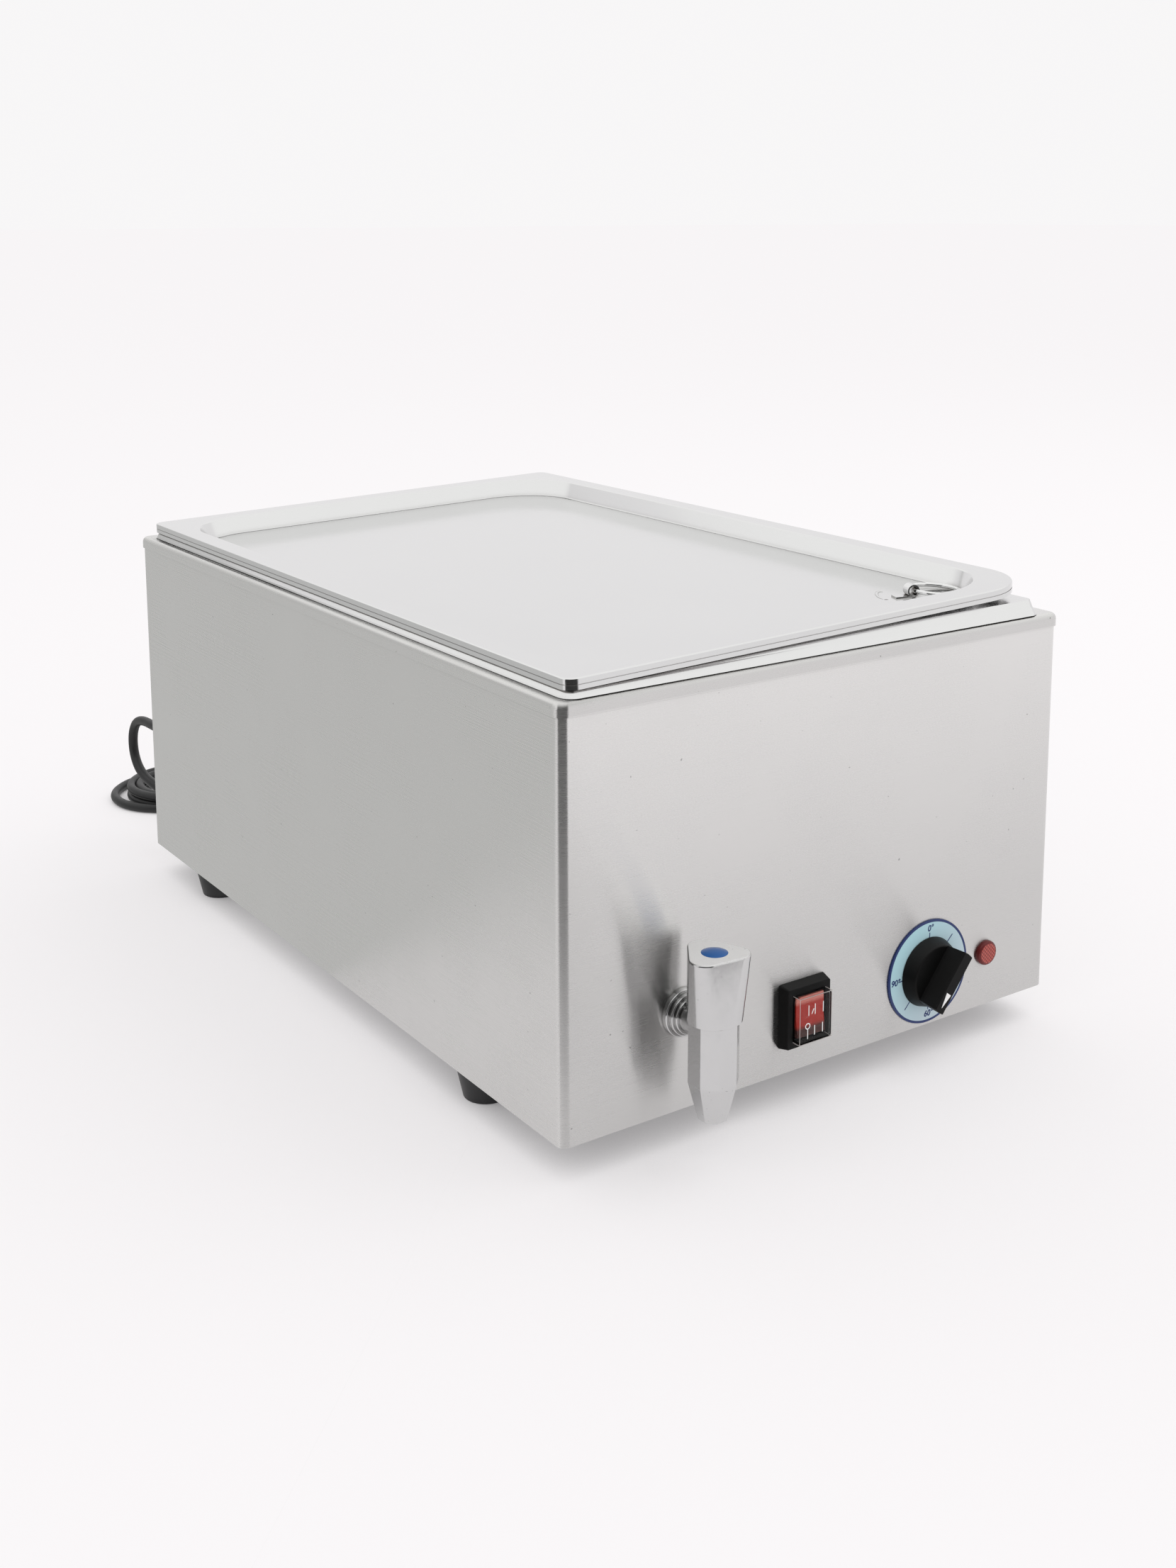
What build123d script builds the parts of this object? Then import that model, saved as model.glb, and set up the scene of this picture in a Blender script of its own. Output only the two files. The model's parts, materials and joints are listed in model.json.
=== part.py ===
"""Countertop heated wax bath: a gastronorm pan in a water tank, with lid, drain tap and thermostat.

Casing frame used below: X to the right and Y to the back, seen from the control panel, Z up; the origin is
at the middle of the casing's lower edge. finish() moves every piece so that the model stands on z = 0 with
its origin under the middle of its bounding box. All sizes are in millimetres.
"""
from build123d import *
import os
from math import asin, cos, degrees, pi, radians, sin, sqrt, tan

os.makedirs("parts", exist_ok=True)

# ------------------------------------------------------------------ driving dimensions
# casing, sized from the pan that it holds
casing_border_x = 8.5
casing_border_y = 5.0
casing_sheet = 1.0
casing_bend = 4.8
wall_return = 14.0
skirt_h = 7.7
skirt_round = 3.6
foot_h = 20.0
foot_top_r = 17.0
foot_low_r = 12.8
foot_side_inset = 20.0
foot_front_inset = 105.0
foot_rear_inset = 72.0
foot_screw_len = 14.0
foot_counterbore = 7.0
vent_columns = 5
vent_rows = 4
vent_pitch_x = 44.0
vent_pitch_z = 9.0
vent_len = 30.0
vent_h = 3.0
vent_low = 22.0
slot_rows = 7
slot_pitch = 16.0
slot_len = 64.0
slot_w = 3.2
slot_side = 62.0
base_screw_len = 7.0
base_screw_end = 30.0
base_sheet = 1.0
base_inset = 2.0

# gastronorm pan, standard 1/1 outline
pan_w = 325.0
pan_d = 530.0
pan_depth = 150.0
pan_sheet = 0.8
pan_rim_w = 12.5
pan_mouth_bend = 3.0
pan_mouth_corner = 50.0
pan_taper = 8.0
pan_floor_bend = 16.0
pan_rim_h = 8.5
pan_rim_flare = 4.0
pan_rim_corner = 6.0
pan_seat_gap = 0.3
pan_off_x = -4.0
pan_off_y = -4.5

# water tank
tank_sheet = 1.0
tank_play_x = 1.6
tank_play_y = 1.6
tank_under_pan = 17.5
tank_over_union = 0.7
tank_corner = 26.0
tank_floor_bend = 7.0

# lid, set down askew: its left edge is seated and its right edge stands up
lid_over_x = 0.1
lid_over_y = -0.3
lid_sheet = 0.8
lid_edge_h = 6.0
lid_bead_h = 2.4
lid_groove = 0.5
lid_corner = 7.0
lid_worn_corner = 42.0
lid_wall_t = 0.9
lid_dish_play_x = 0.7
lid_dish_play_y = 3.2
lid_dish_depth = 12.0
lid_dish_draft = 3.2
lid_dish_corner = 46.0
lid_dish_bend = 1.2
lid_foot_bend = 2.0
lid_tilt_deg = 1.72
lid_slip_x = 0.7
lid_slip_y = 0.5
lid_rest_gap = 0.5

# ring and strap on the lid, placed from the front right corner of its sunk middle
strap_in_x = 34.8
strap_in_y = 41.8
strap_yaw_deg = -19.0
strap_w = 7.0
strap_t = 0.9
strap_bore_r = 2.8
strap_foot = 11.0
ring_wire_r = 1.2
ring_r = 14.4
ring_play = 0.3

# front panel places: heights above the casing's lower edge, tap from the left, dial and lamp from the right
tap_in = 73.5
tap_z = 53.5
switch_x = -18.0
switch_z = 33.0
dial_in = 96.0
dial_z = 32.0
lamp_from_dial = 46.0
lamp_z = 32.0

# drain tap
tap_reach = 26.0
tap_body_af = 24.4
tap_body_low = 27.0
tap_body_top = 59.0
tap_spout_low = 7.0
tap_spout_af = 14.6
tap_bore_r = 4.6
tap_seat_z = 45.5
tap_chamber_r = 8.6
tap_neck_r = 8.0
tap_shank_r = 7.8
tap_hole_play = 0.4
tap_shank_in = 25.0
escutcheon_r = 12.8
escutcheon_steps = ((0.0, 0.0, 3.4), (1.7, 3.4, 6.0), (3.2, 6.0, 8.0))
handle_lobe_r = 8.2
handle_lobe_at = 10.0
handle_foot_lobe_r = 12.6
handle_foot_lobe_at = 1.8
handle_room = 0.8
handle_yaw_deg = -35.0
handle_h = 34.5
handle_gap = 0.5
handle_roof = 6.0
index_r = 6.8
index_rise = 1.4
spindle_r = 3.2
spindle_play = 0.05
valve_r = 6.4
valve_h = 3.0
valve_lift = 3.0
valve_stem_wall = 1.5
spindle_collar = 1.6
collar_h = 1.2
bonnet_h = 16.0
bonnet_r = 8.4
back_nut_af = 24.0
back_nut_h = 7.0
washer_t = 1.5

# drain under the tank
elbow_r = 9.0
elbow_bore_r = 6.0
elbow_arm_r = 8.5
elbow_arm_bore_r = 5.3
union_af = 25.0
union_h = 16.0
strainer_r = 17.0
strainer_t = 1.2
strainer_hole_r = 1.4
strainer_ring_r = (5.0, 10.5)
strainer_ring_holes = (6, 12)

# rocker switch
bezel_w = 32.0
bezel_h = 36.0
bezel_t = 6.5
bezel_taper = 1.3
bezel_bore_w = 19.6
bezel_bore_h = 23.0
switch_body_w = 27.0
switch_body_h = 30.0
switch_body_d = 24.0
rocker_w = 18.8
rocker_h = 21.4
rocker_throw_deg = 8.0
cover_w = 22.3
cover_h = 26.0
cover_out = 5.5
cover_wall = 0.9

# thermostat, dial and knob
dial_r = 30.2
dial_t = 0.8
knob_base_r = 20.2
knob_front_r = 17.6
knob_skirt = 8.0
knob_total = 20.0
knob_blade_w = 9.6
knob_blade_front_w = 7.6
knob_gap = 0.4
knob_now_deg = 218.0
knob_span_deg = 270.0
shaft_r = 3.0
shaft_play = 0.4
shaft_flat_z = 1.6
shaft_in_knob = 15.5
shaft_in_case = 11.5
bushing_wall = 1.8
thermostat_w = 40.0
thermostat_h = 44.0
thermostat_d = 26.0
thermostat_screw_pitch = 24.0
thermostat_screw_in = 5.0
small_head_r = 3.2
small_head_h = 1.5
bulb_r = 3.2
bulb_len = 90.0
bulb_from_leg = 44.0
bulb_from_front = 150.0
capillary_r = 1.0
clip_w = 8.0
clip_t = 0.8

# pilot lamp
lamp_r = 7.25
lamp_rise = 2.8
lamp_barrel_r = 5.9
lamp_barrel_len = 20.0
lamp_play = 0.1
lamp_clip_w = 3.5
lamp_clip_t = 1.5
lamp_tab_pitch = 6.0
lamp_tab_w = 4.8

# heating element under the tank
element_r = 4.2
element_pitch = 60.0
element_from_front = 100.0
element_from_rear = 65.0
element_gap = 0.2
element_tail = 14.0
element_pin_r = 2.0
element_pin_len = 14.0
clamp_w = 14.0
clamp_t = 2.0
clamp_overhang = 12.0
clamp_from_end = 60.0
clamp_pitch = 130.0
clamp_count = 3
stud_r = 2.0
stud_below_nut = 2.0
cutout_r = 8.0
cutout_h = 9.0
cutout_from_front = 210.0
tab_t = 0.8
tab_len = 8.0
tab_w = 6.2

# electrics on the base
block_in_x = 59.0
block_in_y = 42.0
block_w = 42.0
block_d = 20.0
block_h = 16.0
block_well_r = 2.2
block_well_h = 4.0
block_pitch = 12.0
earth_from_block = 52.0
earth_in_y = 34.0
earth_r = 2.5
earth_h = 15.0
wire_r = 1.4

# mains lead
cord_r = 3.5
gland_in_x = 18.0
gland_z = 75.0
gland_r = 10.5
gland_flange = 3.0
gland_shoulder = 2.5
gland_nut_h = 5.0
gland_tail = 3.0
lead_r = 3.1
lead_sweep = 14.5
relief_len = 30.0
relief_r = 6.5
relief_wall = 0.9
relief_grooves = 5
relief_groove_pitch = 4.5
relief_groove_w = 1.6
relief_groove_depth = 0.7
coil_x = -92.0
coil_y = 418.0
coil_mean_r = 38.0
coil_lift = 0.9
plug_x = 14.0
plug_y = 366.0
plug_r = 18.4
plug_len = 56.0
pin_r = 2.4
pin_len = 19.0
pin_pitch = 19.0
tie_w = 9.0
tie_t = 0.7
tie_angles = (60.0, -40.0)

# fasteners
screw_r = 2.0
screw_head_r = 4.0
screw_head_h = 2.2
screw_slot_w = 0.8
screw_slot_depth = 1.0
nut_across = 7.0
nut_h = 3.2
fit_gap = 0.3
touch_gap = 0.1

# ------------------------------------------------------------------ sizes that follow
casing_w = pan_w + 2 * casing_border_x
casing_d = pan_d + 2 * casing_border_y
tank_clear_h = tap_z + union_af / 2 + tank_over_union
casing_h = tank_clear_h + tank_sheet + tank_under_pan + pan_depth - pan_rim_h - pan_seat_gap
pan_mouth_w = pan_w - 2 * pan_rim_w
pan_mouth_d = pan_d - 2 * pan_rim_w
lid_w = pan_w + 2 * lid_over_x
lid_d = pan_d + 2 * lid_over_y
lid_dish_w = pan_mouth_w - 2 * lid_dish_play_x
lid_dish_d = pan_mouth_d - 2 * lid_dish_play_y
strap_x = lid_dish_w / 2 - strap_in_x
strap_y = -lid_dish_d / 2 + strap_in_y
tap_x = -casing_w / 2 + tap_in
dial_x = casing_w / 2 - dial_in
lamp_x = dial_x + lamp_from_dial
gland_x = -casing_w / 2 + gland_in_x
front_y = -casing_d / 2
rear_y = casing_d / 2
floor_z = -foot_h
front_in_y = front_y + casing_sheet
rear_in_y = rear_y - casing_sheet
rim_low_z = casing_h + pan_seat_gap
rim_top_z = rim_low_z + pan_rim_h
pan_low_z = rim_top_z - pan_depth
tank_floor_top_z = pan_low_z - tank_under_pan
tank_low_z = tank_floor_top_z - tank_sheet
tank_w = pan_mouth_w + 2 * (pan_sheet + abs(pan_off_x) + tank_play_x)
tank_d = pan_mouth_d + 2 * (pan_sheet + abs(pan_off_y) + tank_play_y)
tap_y = front_y - tap_reach
drain_y = front_in_y + tap_shank_in + elbow_r + 10.0
handle_low_z = tap_body_top + handle_gap
handle_top_z = handle_low_z + handle_h
handle_front = max(-sin(radians(handle_yaw_deg + 120 * i)) for i in range(3))
front_reach = -tap_y + handle_lobe_at * handle_front + handle_lobe_r
rear_reach = rear_y + casing_sheet
body_y = (front_reach - rear_reach) / 2
coil_tube = 2 * cord_r
element_front_y = front_y + element_from_front
element_rear_y = rear_y - element_from_rear
block_x = -casing_w / 2 + block_in_x
block_y = rear_y - block_in_y
earth_x = block_x + earth_from_block
earth_y = rear_y - earth_in_y


def finish(piece, name):
    """Move a piece from the casing frame to the model's own frame and write it as one file."""
    solids = [s for shape in (piece if isinstance(piece, list) else [piece]) for s in shape.solids()]
    placed = [s.moved(Location((0, body_y, foot_h))) for s in solids]
    whole = placed[0] if len(placed) == 1 else Compound(children=placed)
    whole.label = name
    export_step(whole, f"parts/{name}.step")


def at(shape, x=0.0, y=0.0, z=0.0):
    """The shape moved by the given distances."""
    return shape.moved(Location((x, y, z)))


def upright(radius, z_low, z_high, x=0.0, y=0.0):
    """A vertical cylinder between two heights."""
    return at(extrude(Circle(radius), z_high - z_low), x, y, z_low)


def rod_y(radius, y_low, y_high, x=0.0, z=0.0):
    """A cylinder along Y between two depths."""
    return extrude(Plane((x, y_low, z), x_dir=(1, 0, 0), z_dir=(0, 1, 0)) * Circle(radius), y_high - y_low)


def hex_y(across, y_low, y_high, x=0.0, z=0.0):
    """A hexagonal bar along Y, by its width across flats."""
    outline = RegularPolygon(across / 2, 6, major_radius=False)
    return extrude(Plane((x, y_low, z), x_dir=(1, 0, 0), z_dir=(0, 1, 0)) * outline, y_high - y_low)


def block(x0, x1, y0, y1, z0, z1):
    """A box between two corners."""
    return at(extrude(Rectangle(x1 - x0, y1 - y0), z1 - z0), (x0 + x1) / 2, (y0 + y1) / 2, z0)


def frustum(low, high, z_low, z_high):
    """A ruled loft between two rounded rectangles, each given as (width, depth, corner radius)."""
    sections = [
        Plane((0, 0, z)) * RectangleRounded(w, d, r) for (w, d, r), z in ((low, z_low), (high, z_high))
    ]
    return loft(sections, ruled=True)


def prism(size, z_low, z_high):
    """A straight rounded block of the size (width, depth, corner radius)."""
    w, d, r = size
    return at(extrude(RectangleRounded(w, d, r), z_high - z_low), z=z_low)


def grown(size, by):
    """A rounded rectangle's (width, depth, corner radius), offset outwards on every side."""
    w, d, r = size
    return (w + 2 * by, d + 2 * by, max(r + by, 0.2))


def tube(points, radius, bends=None):
    """A round bar along straight runs joined by tangent arcs. Returns it with its length and its arcs."""
    runs = [(Vector(*b) - Vector(*a)) for a, b in zip(points, points[1:])]
    if bends is None:
        bends = []
        for one, two in zip(runs, runs[1:]):
            half_turn = radians(one.get_angle(two)) / 2
            bends.append(0.45 * min(one.length, two.length) / tan(half_turn))
    path = FilletPolyline(*points, radius=bends)
    section = Plane(origin=points[0], z_dir=runs[0]) * Circle(radius)
    return sweep(section, path=path), path.length, bends


# ------------------------------------------------------------------ casing, top frame and tank
casing_plan = (casing_w, casing_d, casing_bend)
tank_plan = (tank_w, tank_d, tank_corner)
bushing_r = shaft_r + shaft_play + bushing_wall
gland_thread_r = gland_r - gland_shoulder


def casing_wrap():
    """Bent sheet: four walls with returns along the lower edge, and the cut-outs of the controls."""
    top = casing_h - skirt_round
    body = prism(casing_plan, 0, top) - prism(grown(casing_plan, -casing_sheet), casing_sheet, top)
    body -= prism(grown(casing_plan, -casing_sheet - wall_return), 0, casing_sheet)
    through = (front_y - 1, front_in_y + 1)
    body -= rod_y(tap_shank_r + tap_hole_play, *through, tap_x, tap_z)
    body -= rod_y(lamp_barrel_r + lamp_play, *through, lamp_x, lamp_z)
    body -= rod_y(bushing_r, *through, dial_x, dial_z)
    for side in (-1, 1):
        body -= rod_y(screw_r, *through, dial_x + side * thermostat_screw_pitch / 2, dial_z)
    half_w = switch_body_w / 2 + fit_gap
    half_h = switch_body_h / 2 + fit_gap
    body -= block(switch_x - half_w, switch_x + half_w, *through, switch_z - half_h, switch_z + half_h)
    body -= rod_y(gland_thread_r, rear_in_y - 1, rear_y + 1, gland_x, gland_z)
    for x, y in base_screw_places():
        body -= upright(screw_r, -1, casing_sheet + 1, x, y)
    for column in range(vent_columns):
        for row in range(vent_rows):
            x = (column - (vent_columns - 1) / 2) * vent_pitch_x
            z = vent_low + row * vent_pitch_z
            body -= block(x - vent_len / 2, x + vent_len / 2, rear_in_y - 1, rear_y + 1, z, z + vent_h)
    return body


def base_screw_places():
    """Where the base plate is screwed to the wall returns."""
    x = casing_w / 2 - casing_sheet - wall_return / 2
    end = casing_d / 2 - base_screw_end
    return [(side * x, y) for side in (-1, 1) for y in (-end, 0.0, end)]


def foot_places():
    """The four feet by name, with their centres."""
    x = casing_w / 2 - foot_side_inset
    rows = (("front", front_y + foot_front_inset), ("rear", rear_y - foot_rear_inset))
    sides = (("left", -x), ("right", x))
    return [(f"foot_{row}_{side}", fx, fy) for row, fy in rows for side, fx in sides]


def top_tank():
    """Top frame with its rolled skirt and the water tank welded into it."""
    skirt_plan = grown(casing_plan, casing_sheet)
    cap = prism(skirt_plan, casing_h - skirt_h, casing_h)
    cap = fillet(cap.faces().sort_by(Axis.Z)[-1].edges(), skirt_round)
    hollow = prism(casing_plan, casing_h - skirt_h, casing_h - casing_sheet)
    cap -= fillet(hollow.faces().sort_by(Axis.Z)[-1].edges(), skirt_round - casing_sheet)
    well = prism(grown(tank_plan, tank_sheet), tank_low_z, casing_h)
    well = fillet(well.faces().sort_by(Axis.Z)[0].edges(), tank_floor_bend)
    room = prism(tank_plan, tank_floor_top_z, casing_h)
    room = fillet(room.faces().sort_by(Axis.Z)[0].edges(), tank_floor_bend - tank_sheet)
    drain = upright(elbow_bore_r, tank_low_z - 1, tank_floor_top_z + 1, tap_x, drain_y)
    return cap + well - room - drain


def base_plate():
    """Flat plate under the wall returns, with rows of ventilation slots."""
    plate = prism(grown(casing_plan, -base_inset), -base_sheet, 0)
    for row in range(slot_rows):
        for side in (-1, 1):
            x = side * slot_side
            y = (row - (slot_rows - 1) / 2) * slot_pitch
            half = slot_len / 2
            plate -= block(x - half, x + half, y - slot_w / 2, y + slot_w / 2, -base_sheet - 1, 1)
    for x, y in base_screw_places():
        plate -= upright(screw_r + 0.2, -base_sheet - 1, 1, x, y)
    for _, x, y in foot_places():
        plate -= upright(screw_r, -base_sheet - 1, 1, x, y)
    return plate


def screw_up(x, y, seat_z, length):
    """A pan-head screw driven upwards, its head under the seat height."""
    shank = upright(screw_r, seat_z, seat_z + length, x, y)
    head_z = seat_z - screw_head_h
    head = upright(screw_head_r, head_z, seat_z, x, y)
    head = fillet(head.edges().sort_by(Axis.Z)[0], 0.8)
    half = screw_slot_w / 2
    slot = block(x - 2.2, x + 2.2, y - half, y + half, head_z, head_z + screw_slot_depth)
    return shank + head - slot


def hex_nut(x, y, z_low, across=nut_across, height=nut_h, bore=screw_r):
    """A hexagonal nut standing on a height."""
    outline = RegularPolygon(across / 2, 6, major_radius=False)
    return at(extrude(outline, height), x, y, z_low) - upright(bore, z_low - 1, z_low + height + 1, x, y)


foot_seat = -base_sheet - foot_counterbore


def foot(x, y):
    """A tapered rubber foot, bored from below for its screw."""
    cone = Cone(foot_low_r, foot_top_r, foot_h - base_sheet, align=(Align.CENTER, Align.CENTER, Align.MIN))
    cone = fillet(cone.edges().filter_by(GeomType.CIRCLE).sort_by(Axis.Z)[0], 1.2)
    body = at(cone, x, y, floor_z)
    body -= upright(screw_r + 0.3, floor_z - 1, 0, x, y)
    return body - upright(screw_head_r + 1.0, floor_z - 1, foot_seat, x, y)


# ------------------------------------------------------------------ gastronorm pan
rim_profile = (
    (rim_low_z, 0.0),
    (rim_low_z + 0.9, -0.4),
    (rim_top_z - 4.1, -2.4),
    (rim_top_z, -pan_rim_flare),
)


def rim_block(by, top):
    """The solid under the pan's flared rim, offset by a distance and cut off at a height."""
    plan = (pan_w, pan_d, pan_rim_corner + 2)
    steps = [
        frustum(grown(plan, low[1] + by), grown(plan, high[1] + by), low[0], high[0])
        for low, high in zip(rim_profile, rim_profile[1:])
    ]
    body = steps[0] + steps[1] + steps[2]
    return body & block(-pan_w, pan_w, -pan_d, pan_d, rim_low_z, top)


def gastronorm_pan():
    """Deep pan drawn from sheet: tapered walls, rounded floor and a flat rim turned down at its edge."""
    mouth = (pan_mouth_w, pan_mouth_d, pan_mouth_corner)
    foot_plan = grown(mouth, -pan_taper)
    under = rim_top_z - pan_sheet
    rim = rim_block(0, rim_top_z) - rim_block(-pan_sheet, under)
    outer = frustum(grown(foot_plan, pan_sheet), grown(mouth, pan_sheet), pan_low_z, under)
    outer = fillet(outer.faces().sort_by(Axis.Z)[0].edges(), pan_floor_bend)
    inner = frustum(foot_plan, mouth, pan_low_z + pan_sheet, rim_top_z)
    inner = fillet(inner.faces().sort_by(Axis.Z)[0].edges(), pan_floor_bend - pan_sheet)
    body = rim + outer
    bend = [e for e in body.edges() if is_ring_edge(e, under, pan_mouth_w / 2 + 8, pan_mouth_d / 2 + 8)]
    body = fillet(bend, pan_mouth_bend - pan_sheet)
    body -= inner
    lip = [e for e in body.edges() if is_ring_edge(e, rim_top_z, pan_mouth_w / 2 + 3, pan_mouth_d / 2 + 3)]
    body = fillet(lip, pan_mouth_bend)
    return at(body, pan_off_x, pan_off_y)


def is_ring_edge(edge, z, half_w, half_d):
    """True for an edge that lies in the plane z and inside a half width and half depth."""
    box = edge.bounding_box()
    level = abs(box.min.Z - z) < 0.01 and abs(box.max.Z - z) < 0.01
    inside_x = max(abs(box.min.X), abs(box.max.X)) < half_w
    inside_y = max(abs(box.min.Y), abs(box.max.Y)) < half_d
    return level and inside_x and inside_y


# ------------------------------------------------------------------ lid with its strap and ring
lid_left_z = rim_top_z + lid_rest_gap + lid_sheet
lid_centre_z = lid_left_z + lid_w / 2 * sin(radians(lid_tilt_deg))
lid_place = Location((pan_off_x + lid_slip_x, pan_off_y + lid_slip_y, lid_centre_z), (0, -lid_tilt_deg, 0))
dish_z = -lid_dish_depth
strap_eye_r = strap_bore_r + strap_t
ring_sag = ring_r - sqrt(ring_r ** 2 - (strap_w / 2) ** 2)
ring_off = strap_bore_r - ring_wire_r - ring_play - ring_sag
ring_drop_deg = degrees(asin((strap_eye_r - ring_wire_r - 0.2) / (ring_off + 2 * ring_r)))
strap_place = Location((strap_x, strap_y, dish_z), (0, 0, strap_yaw_deg))


def lid_outline(by):
    """The lid's plan with one large corner at the front right, offset outwards."""
    half_w = lid_w / 2 + by
    half_d = lid_d / 2 + by
    plan = Polyline((-half_w, -half_d), (half_w, -half_d), (half_w, half_d), (-half_w, half_d), close=True)
    face = make_face(plan)
    worn = face.vertices().sort_by(lambda v: v.Y - v.X)[0]
    face = fillet(worn, lid_worn_corner + by)
    sharp = [v for v in face.vertices() if v.Y > half_d - 1 or v.X < -half_w + 1]
    return fillet(sharp, lid_corner + by)


def lid():
    """Sheet lid with a sunk middle and an edge turned down in two bands, in its own frame."""
    skin = extrude(lid_outline(0), -lid_edge_h)
    skin = fillet(skin.faces().sort_by(Axis.Z)[-1].edges(), 0.7)
    groove_z = -lid_edge_h + lid_bead_h
    ring = extrude(lid_outline(1), lid_groove) - extrude(lid_outline(-0.35), lid_groove)
    skin -= at(ring, z=groove_z)
    skin -= at(extrude(lid_outline(-lid_wall_t), -lid_edge_h), z=-lid_sheet)
    dish = (lid_dish_w, lid_dish_d, lid_dish_corner)
    dish_foot = grown(dish, -lid_dish_draft)
    shell = frustum(grown(dish_foot, lid_sheet), grown(dish, lid_sheet), dish_z - lid_sheet, -lid_sheet / 2)
    shell = fillet(shell.faces().sort_by(Axis.Z)[0].edges(), lid_foot_bend)
    air = frustum(dish_foot, dish, dish_z, 0)
    air = fillet(air.faces().sort_by(Axis.Z)[0].edges(), lid_foot_bend - lid_sheet)
    body = skin + shell - air
    lip = [e for e in body.edges() if is_ring_edge(e, 0, lid_dish_w / 2 + 1, lid_dish_d / 2 + 1)]
    return fillet(lip, lid_dish_bend - 0.5).moved(lid_place)


def lid_strap():
    """Bent strap on the sunk panel: a flat foot that rolls up into an eye for the ring."""
    wide = (-strap_w / 2, strap_w / 2)
    eye = at(rod_y(strap_eye_r, *wide), z=strap_eye_r)
    plate = block(-strap_foot, 0, *wide, 0, strap_t)
    body = eye + plate - at(rod_y(strap_bore_r, *wide), z=strap_eye_r)
    return body.moved(lid_place * strap_place)


def lid_ring():
    """Wire ring that rolls round in the strap's eye and lies on the panel."""
    wire = at(Torus(ring_r, ring_wire_r), ring_off + ring_r)
    pose = Location((0, 0, strap_eye_r), (0, ring_drop_deg, 0))
    return wire.moved(lid_place * strap_place * pose)


# ------------------------------------------------------------------ drain tap
valve_low_z = tap_seat_z + fit_gap
valve_top_z = valve_low_z + valve_h
collar_top_z = tap_body_top - 2 * fit_gap
collar_low_z = collar_top_z - collar_h
valve_stem_z = collar_low_z - valve_lift - 2 * fit_gap
spindle_low_z = valve_top_z + valve_lift + 2 * fit_gap
handle_roof_z = handle_top_z - handle_roof


def tap_escutcheon():
    """Stepped wall rose round the tap's neck."""
    body = Part()
    for inset, near, far in escutcheon_steps:
        ring = rod_y(escutcheon_r - inset, front_y - far, front_y - near, tap_x, tap_z)
        rim = ring.edges().filter_by(GeomType.CIRCLE).sort_by(Axis.Y)[0]
        body += fillet(rim, 0.7)
    return body - rod_y(tap_neck_r, front_y - escutcheon_steps[-1][2] - 1, front_y + 1, tap_x, tap_z)


def octagon(across, z):
    """An octagon with faces square to the axes, on the tap's axis."""
    return Plane((tap_x, tap_y, z)) * RegularPolygon(across / 2, 8, major_radius=False, rotation=22.5)


def tap_body():
    """Cast body: eight-sided upright, tapered spout, neck and threaded shank, bored for the valve."""
    upper = extrude(octagon(tap_body_af, tap_body_low), tap_body_top - tap_body_low)
    lower = loft([octagon(tap_spout_af, tap_spout_low), octagon(tap_body_af, tap_body_low)], ruled=True)
    body = upper + lower + rod_y(tap_neck_r, tap_y, front_y, tap_x, tap_z)
    body += rod_y(tap_shank_r, front_y - 1, front_in_y + tap_shank_in, tap_x, tap_z)
    half = tap_body_af / 2
    over_z = tap_body_top + tap_neck_r
    body -= block(tap_x - half, tap_x + half, tap_y - half, tap_y + half + 5, tap_body_top, over_z)
    body -= upright(tap_chamber_r, tap_seat_z, tap_body_top + 1, tap_x, tap_y)
    body -= upright(tap_bore_r, tap_spout_low - 1, tap_seat_z + 1, tap_x, tap_y)
    return body - rod_y(tap_bore_r, tap_y, front_in_y + tap_shank_in + 1, tap_x, tap_z)


def lobes(radius, reach, z):
    """A rounded triangle at a height: three discs of one radius, each at the same reach, and their hull."""
    corners = []
    for i in range(3):
        turn = radians(handle_yaw_deg + 120 * i)
        corners.append(Circle(radius).moved(Location((reach * cos(turn), reach * sin(turn)))))
    return Plane((tap_x, tap_y, z)) * make_hull([c.edge() for c in corners])


def tap_handle():
    """Hollow handle, nearly round below and a rounded triangle above, pressed on the spindle."""
    foot = lobes(handle_foot_lobe_r, handle_foot_lobe_at, handle_low_z)
    body = loft([foot, lobes(handle_lobe_r, handle_lobe_at, handle_top_z)])
    body = fillet(body.faces().sort_by(Axis.Z)[-1].edges(), 0.8)
    body -= upright(bonnet_r + handle_room, handle_low_z - 1, handle_roof_z, tap_x, tap_y)
    return body - upright(spindle_r, handle_roof_z - 1, handle_roof_z + 4, tap_x, tap_y)


def tap_index():
    """Domed coloured button let into the handle's top."""
    dome_r = (index_r ** 2 + index_rise ** 2) / (2 * index_rise)
    dome = at(Sphere(dome_r), tap_x, tap_y, handle_top_z + index_rise - dome_r)
    return dome & upright(index_r, handle_top_z, handle_top_z + index_rise + 1, tap_x, tap_y)


def tap_spindle():
    """Spindle from the handle down through the bonnet into the valve's stem."""
    collar = upright(spindle_r + spindle_collar, collar_low_z, collar_top_z, tap_x, tap_y)
    return upright(spindle_r, spindle_low_z, handle_roof_z + 4, tap_x, tap_y) + collar


def tap_bonnet():
    """Screwed headwork that closes the valve chamber and guides the spindle."""
    body = upright(bonnet_r, tap_body_top - 0.3, tap_body_top + bonnet_h, tap_x, tap_y)
    body = fillet(body.edges().filter_by(GeomType.CIRCLE).sort_by(Axis.Z)[-1], 1.0)
    return body - upright(spindle_r + spindle_play, tap_seat_z, tap_body_top + bonnet_h + 1, tap_x, tap_y)


def tap_valve():
    """Jumper valve: a disc over the seat with a stem that the spindle screws into."""
    body = upright(valve_r, valve_low_z, valve_top_z, tap_x, tap_y)
    body += upright(spindle_r + valve_stem_wall, valve_low_z, valve_stem_z, tap_x, tap_y)
    return body - upright(spindle_r + spindle_play, valve_top_z, valve_stem_z + 1, tap_x, tap_y)


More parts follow.
